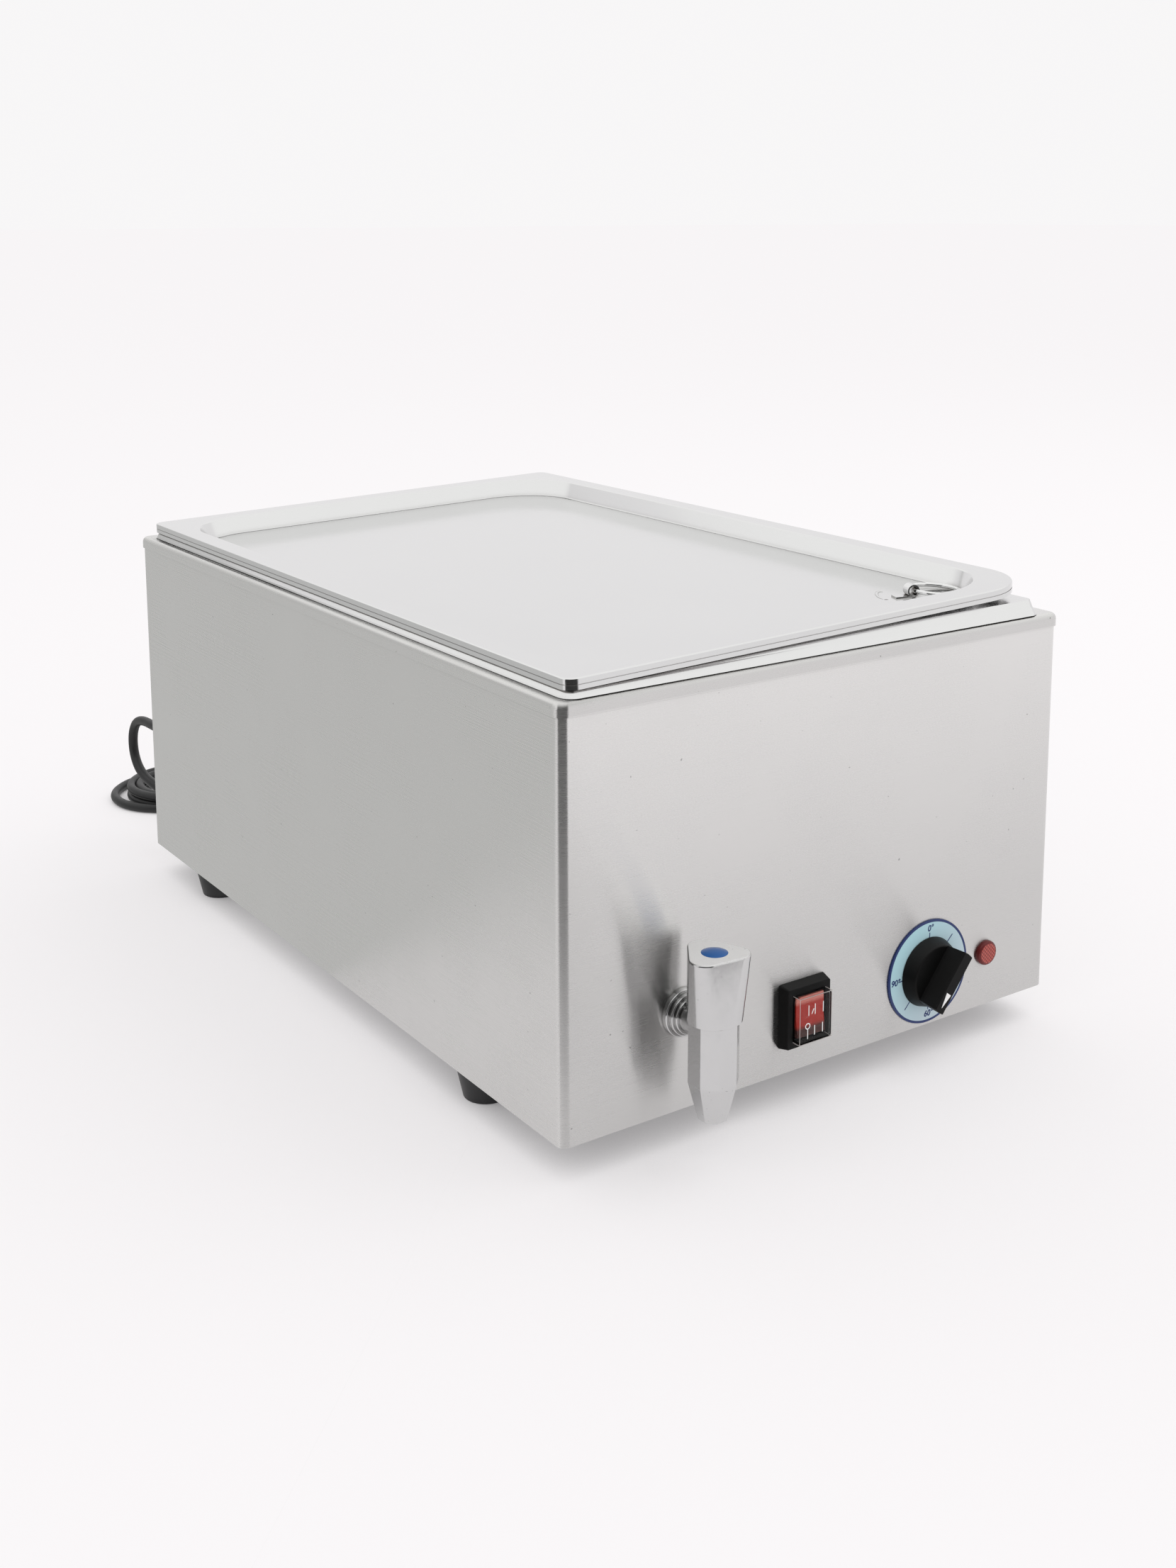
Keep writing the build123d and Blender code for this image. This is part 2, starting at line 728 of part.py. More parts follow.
def tap_washer():
    """Rubber washer inside the wall."""
    ring = rod_y(tap_shank_r + 4.5, front_in_y, front_in_y + washer_t, tap_x, tap_z)
    return ring - rod_y(tap_shank_r, front_in_y - 1, front_in_y + washer_t + 1, tap_x, tap_z)


def tap_back_nut():
    """Hexagonal nut that clamps the tap to the wall."""
    low = front_in_y + washer_t
    nut = hex_y(back_nut_af, low, low + back_nut_h, tap_x, tap_z)
    return nut - rod_y(tap_shank_r, low - 1, low + back_nut_h + 1, tap_x, tap_z)


# ------------------------------------------------------------------ drain
def drain_elbow():
    """Elbow welded under the tank's drain hole, facing the tap's shank."""
    face_y = front_in_y + tap_shank_in
    body = upright(elbow_r, tap_z - elbow_r - 0.5, tank_low_z, tap_x, drain_y)
    body += rod_y(elbow_arm_r, face_y, drain_y, tap_x, tap_z)
    body -= upright(elbow_bore_r, tap_z - elbow_bore_r, tank_low_z + 1, tap_x, drain_y)
    return body - rod_y(elbow_arm_bore_r, face_y - 1, drain_y, tap_x, tap_z)


def drain_union_nut():
    """Hexagonal union between the shank and the elbow."""
    face_y = front_in_y + tap_shank_in
    nut = hex_y(union_af, face_y - union_h / 2, face_y + union_h / 2, tap_x, tap_z)
    nut -= rod_y(tap_shank_r, face_y - union_h, face_y, tap_x, tap_z)
    return nut - rod_y(elbow_arm_r, face_y, face_y + union_h, tap_x, tap_z)


def drain_strainer():
    """Perforated disc over the drain hole."""
    low = tank_floor_top_z
    disc = upright(strainer_r, low, low + strainer_t, tap_x, drain_y)
    disc -= upright(strainer_hole_r, low - 1, low + strainer_t + 1, tap_x, drain_y)
    for ring_at, count in zip(strainer_ring_r, strainer_ring_holes):
        for i in range(count):
            angle = 2 * pi * i / count
            x = tap_x + ring_at * cos(angle)
            y = drain_y + ring_at * sin(angle)
            disc -= upright(strainer_hole_r, low - 1, low + strainer_t + 1, x, y)
    return disc


# ------------------------------------------------------------------ rocker switch
switch_face_y = front_y - bezel_t
rocker_pivot_y = switch_face_y + 3.6
rocker_pin_r = 1.5
rocker_pin_play = 0.05
bezel_room_d = 12.0


def switch_housing():
    """Black housing: tapered bezel outside the panel, body behind it, and the rocker's well."""
    wall_face = Plane((switch_x, front_y, switch_z), x_dir=(1, 0, 0), z_dir=(0, -1, 0))
    bezel_front = (bezel_w - 2 * bezel_taper, bezel_h - 2 * bezel_taper)
    bezel = loft(
        [
            wall_face * RectangleRounded(bezel_w, bezel_h, 1.6),
            wall_face.offset(bezel_t) * RectangleRounded(*bezel_front, 1.2),
        ],
        ruled=True,
    )
    bezel = fillet(bezel.faces().sort_by(Axis.Y)[0].edges(), 0.5)
    body = bezel + front_box(switch_body_w, switch_body_h, front_y, front_y + switch_body_d)
    body -= front_box(bezel_bore_w, bezel_bore_h, switch_face_y - 1, switch_face_y + bezel_room_d)
    pins = (switch_x - rocker_w / 2 - 1.8, switch_x + rocker_w / 2 + 1.8)
    return body - rod_x(rocker_pin_r + rocker_pin_play, *pins, rocker_pivot_y, switch_z)


def front_box(w, h, y_low, y_high):
    """A block centred on the switch's axis, by width, height and depths."""
    return block(switch_x - w / 2, switch_x + w / 2, y_low, y_high, switch_z - h / 2, switch_z + h / 2)


def rod_x(radius, x_low, x_high, y, z):
    """A cylinder along X."""
    start = Plane((x_low, y, z), x_dir=(0, 1, 0), z_dir=(1, 0, 0))
    return extrude(start * Circle(radius), x_high - x_low)


def switch_rocker():
    """Red rocker with a shallow V face and pivot pins, tipped half of its throw."""
    half = rocker_h / 2
    side = Plane((switch_x - rocker_w / 2, rocker_pivot_y, switch_z), x_dir=(0, 1, 0), z_dir=(1, 0, 0))
    rise = half * tan(radians(rocker_throw_deg / 2))
    face = -3.6 - 0.6
    lower = [(face, 0), (face - rise, -half), (-2.0, -half), (3.0, -4.0)]
    upper = [(depth, -height) for depth, height in reversed(lower[1:])]
    outline = Polyline(*lower, *upper, close=True)
    body = extrude(side * make_face(outline), rocker_w)
    pins = (switch_x - rocker_w / 2 - 1.5, switch_x + rocker_w / 2 + 1.5)
    body += rod_x(rocker_pin_r, *pins, rocker_pivot_y, switch_z)
    return body.rotate(Axis((switch_x, rocker_pivot_y, switch_z), (1, 0, 0)), -rocker_throw_deg / 2)


def switch_cover():
    """Clear splash cover over the rocker, a thin box open at the back."""
    out = front_box(cover_w, cover_h, switch_face_y - cover_out, switch_face_y)
    out = fillet(out.edges().filter_by(Axis.Y), 1.6)
    out = fillet(out.faces().sort_by(Axis.Y)[0].edges(), 0.7)
    inside = (cover_w - 2 * cover_wall, cover_h - 2 * cover_wall)
    room = front_box(*inside, switch_face_y - cover_out + cover_wall, switch_face_y)
    return out - fillet(room.edges().filter_by(Axis.Y), 0.8)


def switch_terminals():
    """Four flat tabs behind the switch."""
    back = front_y + switch_body_d
    return [
        block(x - tab_t / 2, x + tab_t / 2, back, back + tab_len, z - tab_w / 2, z + tab_w / 2)
        for x, z in switch_tab_places()
    ]


def switch_tab_places():
    """Centres of the four tabs: lower left, upper left, lower right, upper right."""
    half_x = switch_body_w / 4
    half_z = switch_body_h / 4
    return [(switch_x + side * half_x, switch_z + level * half_z) for side in (-1, 1) for level in (-1, 1)]


# ------------------------------------------------------------------ thermostat, dial, knob and lamp
dial_face_y = front_y - dial_t
knob_back_y = dial_face_y - knob_gap
knob_front_y = knob_back_y - knob_total


def thermostat_body():
    """Thermostat case on the inside of the front wall, with a bushing through wall and dial."""
    case = block(
        dial_x - thermostat_w / 2, dial_x + thermostat_w / 2, front_in_y, front_in_y + thermostat_d,
        dial_z - thermostat_h / 2, dial_z + thermostat_h / 2,
    )
    case = fillet(case.edges().filter_by(Axis.Y), 2.0)
    case += rod_y(bushing_r, dial_face_y, front_in_y, dial_x, dial_z)
    bore_end = front_in_y + shaft_in_case + fit_gap
    case -= rod_y(shaft_r + shaft_play, dial_face_y - 1, bore_end, dial_x, dial_z)
    for side in (-1, 1):
        x = dial_x + side * thermostat_screw_pitch / 2
        case -= rod_y(screw_r, front_in_y - 1, front_in_y + thermostat_screw_in, x, dial_z)
    return case


def thermostat_screws():
    """Two pan-head screws that hold the dial plate and the thermostat to the wall."""
    screws = []
    for side in (-1, 1):
        x = dial_x + side * thermostat_screw_pitch / 2
        head = rod_y(small_head_r, dial_face_y - small_head_h, dial_face_y, x, dial_z)
        screws.append(head + rod_y(screw_r, dial_face_y, front_in_y + thermostat_screw_in, x, dial_z))
    return screws


def dial_plate():
    """Round scale plate under the knob."""
    plate = rod_y(dial_r, dial_face_y, front_y, dial_x, dial_z)
    plate -= rod_y(bushing_r, dial_face_y - 1, front_y + 1, dial_x, dial_z)
    for side in (-1, 1):
        x = dial_x + side * thermostat_screw_pitch / 2
        plate -= rod_y(screw_r, dial_face_y - 1, front_y + 1, x, dial_z)
    return plate


def set_knob(shape):
    """Turn a shape drawn with its pointer upwards to the knob's present setting."""
    return shape.rotate(Axis((dial_x, knob_back_y, dial_z), (0, 1, 0)), knob_now_deg)


def knob_cone(depth_low, depth_high, radius_low, radius_high):
    """A conical slice of the knob between two depths in front of the dial."""
    front = Plane((dial_x, knob_back_y - depth_low, dial_z), x_dir=(1, 0, 0), z_dir=(0, -1, 0))
    rim = front.offset(depth_high - depth_low) * Circle(radius_high)
    return loft([front * Circle(radius_low), rim])


def knob():
    """Black knob: hollow skirt with a tapered grip wing across its front."""
    skirt = knob_cone(0, knob_skirt, knob_base_r, knob_front_r)
    skirt = fillet(skirt.edges().filter_by(GeomType.CIRCLE).sort_by(Axis.Y)[0], 1.0)
    stack = knob_cone(knob_skirt - 2, knob_total, knob_front_r, knob_front_r + 0.6)
    half_back = knob_blade_w / 2
    half_front = knob_blade_front_w / 2
    top = Plane((dial_x, 0, dial_z - knob_base_r), x_dir=(1, 0, 0), z_dir=(0, 0, 1))
    outline = Polyline(
        (-half_back, knob_back_y - knob_skirt + 2), (-half_back, knob_back_y - knob_skirt - 2),
        (-half_front, knob_front_y), (half_front, knob_front_y),
        (half_back, knob_back_y - knob_skirt - 2), (half_back, knob_back_y - knob_skirt + 2), close=True,
    )
    wing = extrude(top * make_face(outline), 2 * knob_base_r) & stack
    wing = fillet(wing.faces().sort_by(Axis.Y)[0].edges(), 0.7)
    body = skirt + wing
    body -= rod_y(knob_front_r - 0.8, knob_back_y - 4.5, knob_back_y + 1, dial_x, dial_z)
    shaft_end = knob_back_y - shaft_in_knob - fit_gap
    body -= rod_y(shaft_r, shaft_end, knob_back_y, dial_x, dial_z) & shaft_flat(0)
    return set_knob(body)


def shaft_flat(by):
    """The half-space beside the shaft's flat, as a block."""
    return block(
        dial_x - 2 * shaft_r, dial_x + 2 * shaft_r, knob_back_y - knob_total, knob_back_y + by,
        dial_z - shaft_flat_z, dial_z + 2 * shaft_r,
    )


def knob_pointer():
    """White triangle on the wing's front face, near its pointing end."""
    tip = knob_front_r - 0.6
    half = knob_blade_front_w / 4
    face = Plane((dial_x, knob_front_y, dial_z), x_dir=(1, 0, 0), z_dir=(0, -1, 0))
    mark = make_face(Polyline((-half, tip - 10.5), (half, tip - 10.5), (0, tip - 1.8), close=True))
    return set_knob(extrude(face * mark, 0.25))


def thermostat_shaft():
    """Shaft with a flat, from inside the thermostat into the knob."""
    body = rod_y(shaft_r, knob_back_y, front_in_y + shaft_in_case, dial_x, dial_z)
    body += rod_y(shaft_r, knob_back_y - shaft_in_knob, knob_back_y, dial_x, dial_z) & shaft_flat(0.5)
    return set_knob(body)


def lamp_lens():
    """Red lens cap in front of the wall."""
    cap = rod_y(lamp_r, front_y - lamp_rise, front_y, lamp_x, lamp_z)
    front = cap.edges().filter_by(GeomType.CIRCLE).sort_by(Axis.Y)[0]
    return fillet(front, 1.6)


def lamp_body():
    """Barrel of the pilot lamp behind the wall, with two tabs."""
    end = front_y + lamp_barrel_len
    body = rod_y(lamp_barrel_r, front_y, end, lamp_x, lamp_z)
    for side in (-1, 1):
        x = lamp_x + side * lamp_tab_pitch / 2
        half = lamp_tab_w / 2
        body += block(x - tab_t / 2, x + tab_t / 2, end - 1, end + tab_len - 1, lamp_z - half, lamp_z + half)
    return body


def lamp_clip():
    """Push-on ring that holds the lamp against the wall."""
    ring = rod_y(lamp_barrel_r + lamp_clip_w, front_in_y, front_in_y + lamp_clip_t, lamp_x, lamp_z)
    return ring - rod_y(lamp_barrel_r, front_in_y - 1, front_in_y + lamp_clip_t + 1, lamp_x, lamp_z)


# ------------------------------------------------------------------ heating element and its holders
element_z = tank_low_z - element_gap - element_r
element_xs = [(i - 1.5) * element_pitch for i in range(4)]
clamp_top_z = element_z - element_r - touch_gap


def heating_element():
    """Tubular element in four legs under the tank, with its threaded ends to the rear."""
    tail_y = element_rear_y + element_tail
    points = [(element_xs[0], tail_y, element_z)]
    for i, turn_y in enumerate((element_front_y, element_rear_y, element_front_y)):
        points += [(x, turn_y, element_z) for x in element_xs[i:i + 2]]
    points.append((element_xs[3], tail_y, element_z))
    body, _, _ = tube(points, element_r, [element_pitch / 2 - 2.0] * 6)
    for x in (element_xs[0], element_xs[3]):
        body += rod_y(element_pin_r, tail_y - 1, tail_y + element_pin_len, x, element_z)
    return body


def clamp_places():
    """The studs that carry the clamp bars."""
    rows = [element_front_y + clamp_from_end + i * clamp_pitch for i in range(clamp_count)]
    return [(side * element_pitch, y) for y in rows for side in (-1, 1)]


def element_clamps():
    """Three flat bars that press the element's legs to the tank."""
    half = element_xs[3] + clamp_overhang
    bars = []
    places = clamp_places()
    for left, right in zip(places[::2], places[1::2]):
        y = left[1]
        bar = block(-half, half, y - clamp_w / 2, y + clamp_w / 2, clamp_top_z - clamp_t, clamp_top_z)
        for x, _ in (left, right):
            bar -= upright(stud_r, clamp_top_z - clamp_t - 1, clamp_top_z + 1, x, y)
        bars.append(bar)
    return bars


def clamp_studs():
    """Studs welded under the tank."""
    low = clamp_top_z - clamp_t - nut_h - stud_below_nut
    return [upright(stud_r, low, tank_low_z, x, y) for x, y in clamp_places()]


def clamp_nuts():
    """Nuts under the clamp bars."""
    return [hex_nut(x, y, clamp_top_z - clamp_t - nut_h, bore=stud_r) for x, y in clamp_places()]


def safety_cutout():
    """Over-temperature cut-out against the tank's underside, with its two tabs."""
    y = front_y + cutout_from_front
    low = tank_low_z - cutout_h
    body = upright(cutout_r, low, tank_low_z, 0, y)
    for side in (-1, 1):
        x = side * cutout_r / 2
        body += block(x - tab_t / 2, x + tab_t / 2, y - tab_w / 2, y + tab_w / 2, low - tab_len + 1, low + 1)
    return body


bulb_x = element_xs[2] + bulb_from_leg
bulb_y = front_y + bulb_from_front
bulb_z = tank_low_z - bulb_r - touch_gap


def bulb():
    """Sensing bulb of the thermostat under the tank."""
    return rod_y(bulb_r, bulb_y, bulb_y + bulb_len, bulb_x, bulb_z)


def bulb_clip():
    """Two spring clips that hold the bulb to the tank."""
    clips = []
    for share in (0.25, 0.7):
        y = bulb_y + bulb_len * share
        ring = rod_y(bulb_r + clip_t, y, y + clip_w, bulb_x, bulb_z)
        ring -= rod_y(bulb_r, y - 1, y + clip_w + 1, bulb_x, bulb_z)
        clips.append(ring & block(0, casing_w, y - 1, y + clip_w + 1, 0, tank_low_z))
    return clips


def capillary():
    """Thin tube from the thermostat to its bulb, passing below the element."""
    x, y, z = dial_x - thermostat_w / 5, front_in_y + thermostat_d, dial_z + thermostat_h / 3
    low_z = element_z - element_r - 4 * capillary_r
    points = [
        (x, y, z),
        (x, y + 28 * capillary_r, z),
        (bulb_x - 4 * capillary_r, element_front_y + 10 * capillary_r, low_z),
        (bulb_x, bulb_y - 22 * capillary_r, low_z + 2 * capillary_r),
        (bulb_x, bulb_y - 12 * capillary_r, bulb_z),
        (bulb_x, bulb_y, bulb_z),
    ]
    body, _, _ = tube(points, capillary_r)
    return body


# ------------------------------------------------------------------ electrics on the base and cable entry
def terminal_block():
    """Three-way terminal block with screw wells."""
    body = block(
        block_x - block_w / 2, block_x + block_w / 2, block_y - block_d / 2, block_y + block_d / 2, 0, block_h
    )
    for i in (-1, 0, 1):
        x = block_x + i * block_pitch
        for side in (-1, 1):
            y = block_y + side * block_d / 4
            body -= upright(block_well_r, block_h - block_well_h, block_h + 1, x, y)
    return body


def earth_stud():
    """Earth stud on the base plate with its nut."""
    stud = upright(earth_r, 0, earth_h, earth_x, earth_y)
    return [stud, hex_nut(earth_x, earth_y, earth_h / 4, 3.2 * earth_r, 1.6 * earth_r, earth_r)]


def cable_gland():
    """Gland body through the rear wall."""
    body = rod_y(gland_r, rear_y, rear_y + gland_flange, gland_x, gland_z)
    body = fillet(body.edges().filter_by(GeomType.CIRCLE).sort_by(Axis.Y)[-1], 1.0)
    end_y = rear_in_y - gland_nut_h - gland_tail
    body += rod_y(gland_thread_r, end_y, rear_y, gland_x, gland_z)
    return body - rod_y(cord_r, end_y - 1, rear_y + gland_flange + 1, gland_x, gland_z)


def gland_nut():
    """Nut of the gland inside the rear wall."""
    nut = hex_y(2 * gland_r, rear_in_y - gland_nut_h, rear_in_y, gland_x, gland_z)
    return nut - rod_y(gland_thread_r, rear_in_y - gland_nut_h - 1, rear_in_y + 1, gland_x, gland_z)


relief_start_y = rear_y + gland_flange


def strain_relief():
    """Tapered sleeve round the cord where it leaves the gland, with bending grooves."""
    near = Plane((gland_x, relief_start_y, gland_z), x_dir=(1, 0, 0), z_dir=(0, 1, 0))
    tip_r = cord_r + relief_wall
    body = loft([near * Circle(relief_r), near.offset(relief_len) * Circle(tip_r)])
    margin = (relief_len - (relief_grooves - 1) * relief_groove_pitch) / 2
    for i in range(relief_grooves):
        along = margin + relief_groove_pitch * i
        y = relief_start_y + along
        outer = relief_r - (relief_r - tip_r) * along / relief_len
        groove = rod_y(relief_r + 1, y, y + relief_groove_w, gland_x, gland_z)
        body -= groove - rod_y(outer - relief_groove_depth, y - 1, y + 2 * relief_groove_w, gland_x, gland_z)
    return body - rod_y(cord_r, relief_start_y - 1, relief_start_y + relief_len + 1, gland_x, gland_z)


# ------------------------------------------------------------------ mains cord
lay_z = floor_z + cord_r
coil_low_z = lay_z + coil_lift
coil_high_z = coil_low_z + coil_tube
coil_inner_r = coil_mean_r - cord_r
coil_outer_r = coil_mean_r + cord_r


def coil_point(radius, angle_deg, z):
    """A point of the coil by radius, angle and height."""
    angle = radians(angle_deg)
    return (coil_x + radius * cos(angle), coil_y + radius * sin(angle), z)


cord_points = [
    (gland_x, rear_y, gland_z),
    (-153.3, 304.0, 74.8),
    (-154.4, 340.0, 74.0),
    (-155.0, 353.0, 61.1),
    (-155.0, 353.0, 42.9),
    (-154.5, 340.0, 30.2),
    (-151.0, 316.0, 25.0),
    (-136.0, 298.0, 13.0),
    (-106.0, 291.0, -3.0),
    (-71.0, 303.0, lay_z),
    (-40.0, 332.0, lay_z),
    (-26.0, 372.0, lay_z),
    (-29.0, 414.0, lay_z),
    (-50.0, 452.0, lay_z),
    (-84.0, 471.0, lay_z),
    (-117.6, 469.0, lay_z),
    (-144.0, 442.6, lay_z),
    (-144.0, 405.4, lay_z),
    (-117.6, 379.0, lay_z + 0.3),
    coil_point(coil_outer_r, 270.0, coil_low_z),
]
tail_points = [
    coil_point(coil_outer_r, 270.0, coil_high_z),
    (-62.0, coil_y - coil_outer_r, coil_high_z),
    (-34.0, 372.0, coil_high_z - 0.6),
    (-10.0, plug_y + 0.6, floor_z + plug_r - 1.5),
    (plug_x, plug_y, floor_z + plug_r),
]


def mains_cord():
    """Cord from the gland to the coil. Returns it with its length and arcs."""
    return tube(cord_points, cord_r)


def cord_tail():
    """Cord from the coil to the plug. Returns it with its length and arcs."""
    return tube(tail_points, cord_r)


def mains_cord_coil():
    """The coiled cord, two turns across and two high, as its outer shape."""
    low = coil_low_z - cord_r
    high = coil_high_z + cord_r
    middle = (low + high) / 2
    half = coil_tube
    section = Plane.XZ * RectangleRounded(2 * half, high - low, cord_r - fit_gap)
    ring = revolve(at(section, coil_mean_r, 0, middle), Axis.Z)
    return at(ring, coil_x, coil_y, 0)


def coil_ties():
    """Two ties round the coil's section."""
    middle = (coil_low_z + coil_high_z) / 2
    inside = coil_tube
    ties = []
    for angle in tie_angles:
        outer = Rectangle(2 * (inside + tie_t), 2 * (inside + tie_t))
        ring = extrude(Plane.XZ * (outer - Rectangle(2 * inside, 2 * inside)), tie_w / 2, both=True)
        placed = at(ring, coil_mean_r, 0, middle).rotate(Axis.Z, angle)
        ties.append(at(placed, coil_x, coil_y, 0))
    return ties


def plug_body():
    """Moulded round mains plug lying on the floor, its cord entry towards the coil."""
    z = floor_z + plug_r
    stations = ((0.0, cord_r + 1.6), (18.0, 7.5), (26.0, 15.0), (32.0, plug_r), (plug_len, plug_r))
    outline = Polyline((0, 0), *[(x, r) for x, r in stations], (plug_len, 0), close=True)
    body = revolve(make_face(outline), Axis.X)
    body = fillet(body.edges().filter_by(GeomType.CIRCLE).sort_by(Axis.X)[-1], 2.0)
    return at(body, plug_x, plug_y, z)


def plug_pins():
    """Two round pins."""
    pins = []
    end_x = plug_x + plug_len
    for side in (-1, 1):
        y = plug_y + side * pin_pitch / 2
        pin = rod_x(pin_r, end_x, end_x + pin_len, y, floor_z + plug_r)
        pins.append(fillet(pin.edges().filter_by(GeomType.CIRCLE).sort_by(Axis.X)[-1], 1.0))
    return pins


def inner_lead():
    """Sheathed end of the mains lead inside the casing, from the gland down to the terminal block."""
    points = [
        (gland_x, rear_y, gland_z),
        (gland_x, rear_y - lead_sweep, gland_z),
        (gland_x, rear_y - lead_sweep, 2 * block_h),
        (gland_x + lead_r, rear_y - 2 * lead_sweep, block_h * 0.75),
        (block_x - block_w / 2, block_y, block_h / 2),
    ]
    body, _, _ = tube(points, lead_r)
    return body


def internal_wires():
    """Single wires from the terminal block to the switch, the element and the thermostat."""
    left_low, _, right_low, right_high = switch_tab_places()
    back = front_y + switch_body_d + tab_len
    block_front = block_y - block_d / 2
    block_back = block_y + block_d / 2
    base_z = 4 * wire_r
    entry_z = block_h / 2
    pin_y = element_rear_y + element_tail + element_pin_len
    case_y = front_in_y + thermostat_d
    middle_y = back + 0.65 * (block_front - back)
    routes = [
        [
            (left_low[0], back, left_low[1]), (left_low[0], back + 22, left_low[1]),
            (switch_x - 22, back + 50, base_z), (block_x + 42, middle_y, base_z),
            (block_x - block_pitch, block_front - 40, base_z), (block_x - block_pitch, block_front, entry_z),
        ],
        [
            (right_low[0], back, right_low[1]), (right_low[0], back + 26, right_low[1]),
            (switch_x - 2, back + 60, base_z), (block_x + 62, middle_y + 10, base_z),
            (block_x, block_front - 36, base_z), (block_x, block_front, entry_z),
        ],
        [
            (element_xs[0], pin_y, element_z), (element_xs[0], pin_y + 10, element_z),
            (element_xs[0] + 2, pin_y + 16, element_z / 2), (block_x + block_pitch, block_back + 12, block_h),
            (block_x + block_pitch, block_back, entry_z),
        ],
        [
            (right_high[0], back, right_high[1]), (right_high[0], back + 14, right_high[1]),
            (dial_x - thermostat_w * 0.65, back + 20, dial_z), (dial_x - 6, case_y + 14, dial_z - 6),
            (dial_x - 6, case_y, dial_z - 6),
        ],
    ]
    return [tube(points, wire_r)[0] for points in routes]


# ------------------------------------------------------------------ every piece as its own file
pieces = {
    "casing_wrap": casing_wrap(),
    "top_tank": top_tank(),
    "base_plate": base_plate(),
    "base_screws": [screw_up(x, y, -base_sheet, base_screw_len) for x, y in base_screw_places()],
    "foot_screws": [screw_up(x, y, foot_seat, foot_screw_len) for _, x, y in foot_places()],
    "foot_nuts": [hex_nut(x, y, 0) for _, x, y in foot_places()],
    "gastronorm_pan": gastronorm_pan(),
    "lid": lid(),
    "lid_strap": lid_strap(),
    "lid_ring": lid_ring(),
    "tap_escutcheon": tap_escutcheon(),
    "tap_body": tap_body(),
    "tap_handle": tap_handle(),
    "tap_index": tap_index(),
    "tap_spindle": tap_spindle(),
    "tap_bonnet": tap_bonnet(),
    "tap_valve": tap_valve(),
    "tap_washer": tap_washer(),
    "tap_back_nut": tap_back_nut(),
    "drain_elbow": drain_elbow(),
    "drain_union_nut": drain_union_nut(),
    "drain_strainer": drain_strainer(),
    "switch_housing": switch_housing(),
    "switch_rocker": switch_rocker(),
    "switch_cover": switch_cover(),
    "switch_terminals": switch_terminals(),
    "thermostat_body": thermostat_body(),
    "thermostat_screws": thermostat_screws(),
    "thermostat_shaft": thermostat_shaft(),
    "dial_plate": dial_plate(),
    "knob": knob(),
    "knob_pointer": knob_pointer(),
    "lamp_lens": lamp_lens(),
    "lamp_body": lamp_body(),
    "lamp_clip": lamp_clip(),
    "heating_element": heating_element(),
    "element_clamps": element_clamps(),
    "clamp_studs": clamp_studs(),
    "clamp_nuts": clamp_nuts(),
    "safety_cutout": safety_cutout(),
    "sensing_bulb": bulb(),
    "bulb_clips": bulb_clip(),
    "capillary": capillary(),
    "terminal_block": terminal_block(),
    "earth_stud": earth_stud(),
    "cable_gland": cable_gland(),
    "gland_nut": gland_nut(),
    "strain_relief": strain_relief(),
    "mains_cord_coil": mains_cord_coil(),
    "coil_ties": coil_ties(),
    "plug_body": plug_body(),
    "plug_pins": plug_pins(),
    "inner_lead": inner_lead(),
    "internal_wires": internal_wires(),
}
for foot_name, foot_x, foot_y in foot_places():
    pieces[foot_name] = foot(foot_x, foot_y)
cords = {"mains_cord": mains_cord(), "cord_tail": cord_tail()}
for cord_name, (cord_shape, cord_length, cord_bends) in cords.items():
    pieces[cord_name] = cord_shape
    fill = cord_shape.volume / (pi * cord_r ** 2 * cord_length)
    print(cord_name, "length", round(cord_length, 1), "volume over section x length", round(fill, 4))
    print(cord_name, "radii", [round(r, 1) for r in cord_bends])
coil_length = 2 * 2 * pi * (coil_inner_r + coil_outer_r)
print("coiled length", round(coil_length, 1))
for piece_name, piece in pieces.items():
    finish(piece, piece_name)
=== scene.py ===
"""Looks of the heated wax bath: finishes, printed marks, the mains cord, and the studio round the CAD frame.

Everything is in metres in the row frame. X runs to the right of someone facing the control panel, Y to the
back and Z up. Sizes in millimetres are multiplied by MM where they are used.
"""

import json
from math import cos, pi, radians, sin

import bpy
from mathutils import Matrix, Vector


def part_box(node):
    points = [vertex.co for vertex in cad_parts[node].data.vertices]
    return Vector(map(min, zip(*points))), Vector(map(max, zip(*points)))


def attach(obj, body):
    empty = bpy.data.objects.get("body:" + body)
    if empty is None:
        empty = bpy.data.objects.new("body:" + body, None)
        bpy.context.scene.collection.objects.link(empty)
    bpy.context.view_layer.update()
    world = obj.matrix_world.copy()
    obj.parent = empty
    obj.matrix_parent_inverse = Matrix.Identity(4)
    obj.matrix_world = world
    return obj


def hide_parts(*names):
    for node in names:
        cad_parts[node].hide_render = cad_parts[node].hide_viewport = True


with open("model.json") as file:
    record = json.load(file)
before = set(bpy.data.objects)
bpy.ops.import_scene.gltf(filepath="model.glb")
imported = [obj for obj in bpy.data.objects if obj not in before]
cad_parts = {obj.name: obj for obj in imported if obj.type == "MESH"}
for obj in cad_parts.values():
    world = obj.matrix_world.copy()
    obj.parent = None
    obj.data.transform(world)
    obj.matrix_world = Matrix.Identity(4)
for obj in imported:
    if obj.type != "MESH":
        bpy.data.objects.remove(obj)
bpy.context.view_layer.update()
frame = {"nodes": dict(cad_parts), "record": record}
nodes = frame["nodes"]
MM = 0.001


# ------------------------------------------------------------------ places worked out from the frame
wall_low, wall_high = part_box("casing_wrap")
dial_low, dial_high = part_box("dial_plate")
dial_centre = (dial_low + dial_high) / 2
body_mid = Vector((0, (wall_low.y + wall_high.y) / 2, 0))
casing_low_z = wall_low.z


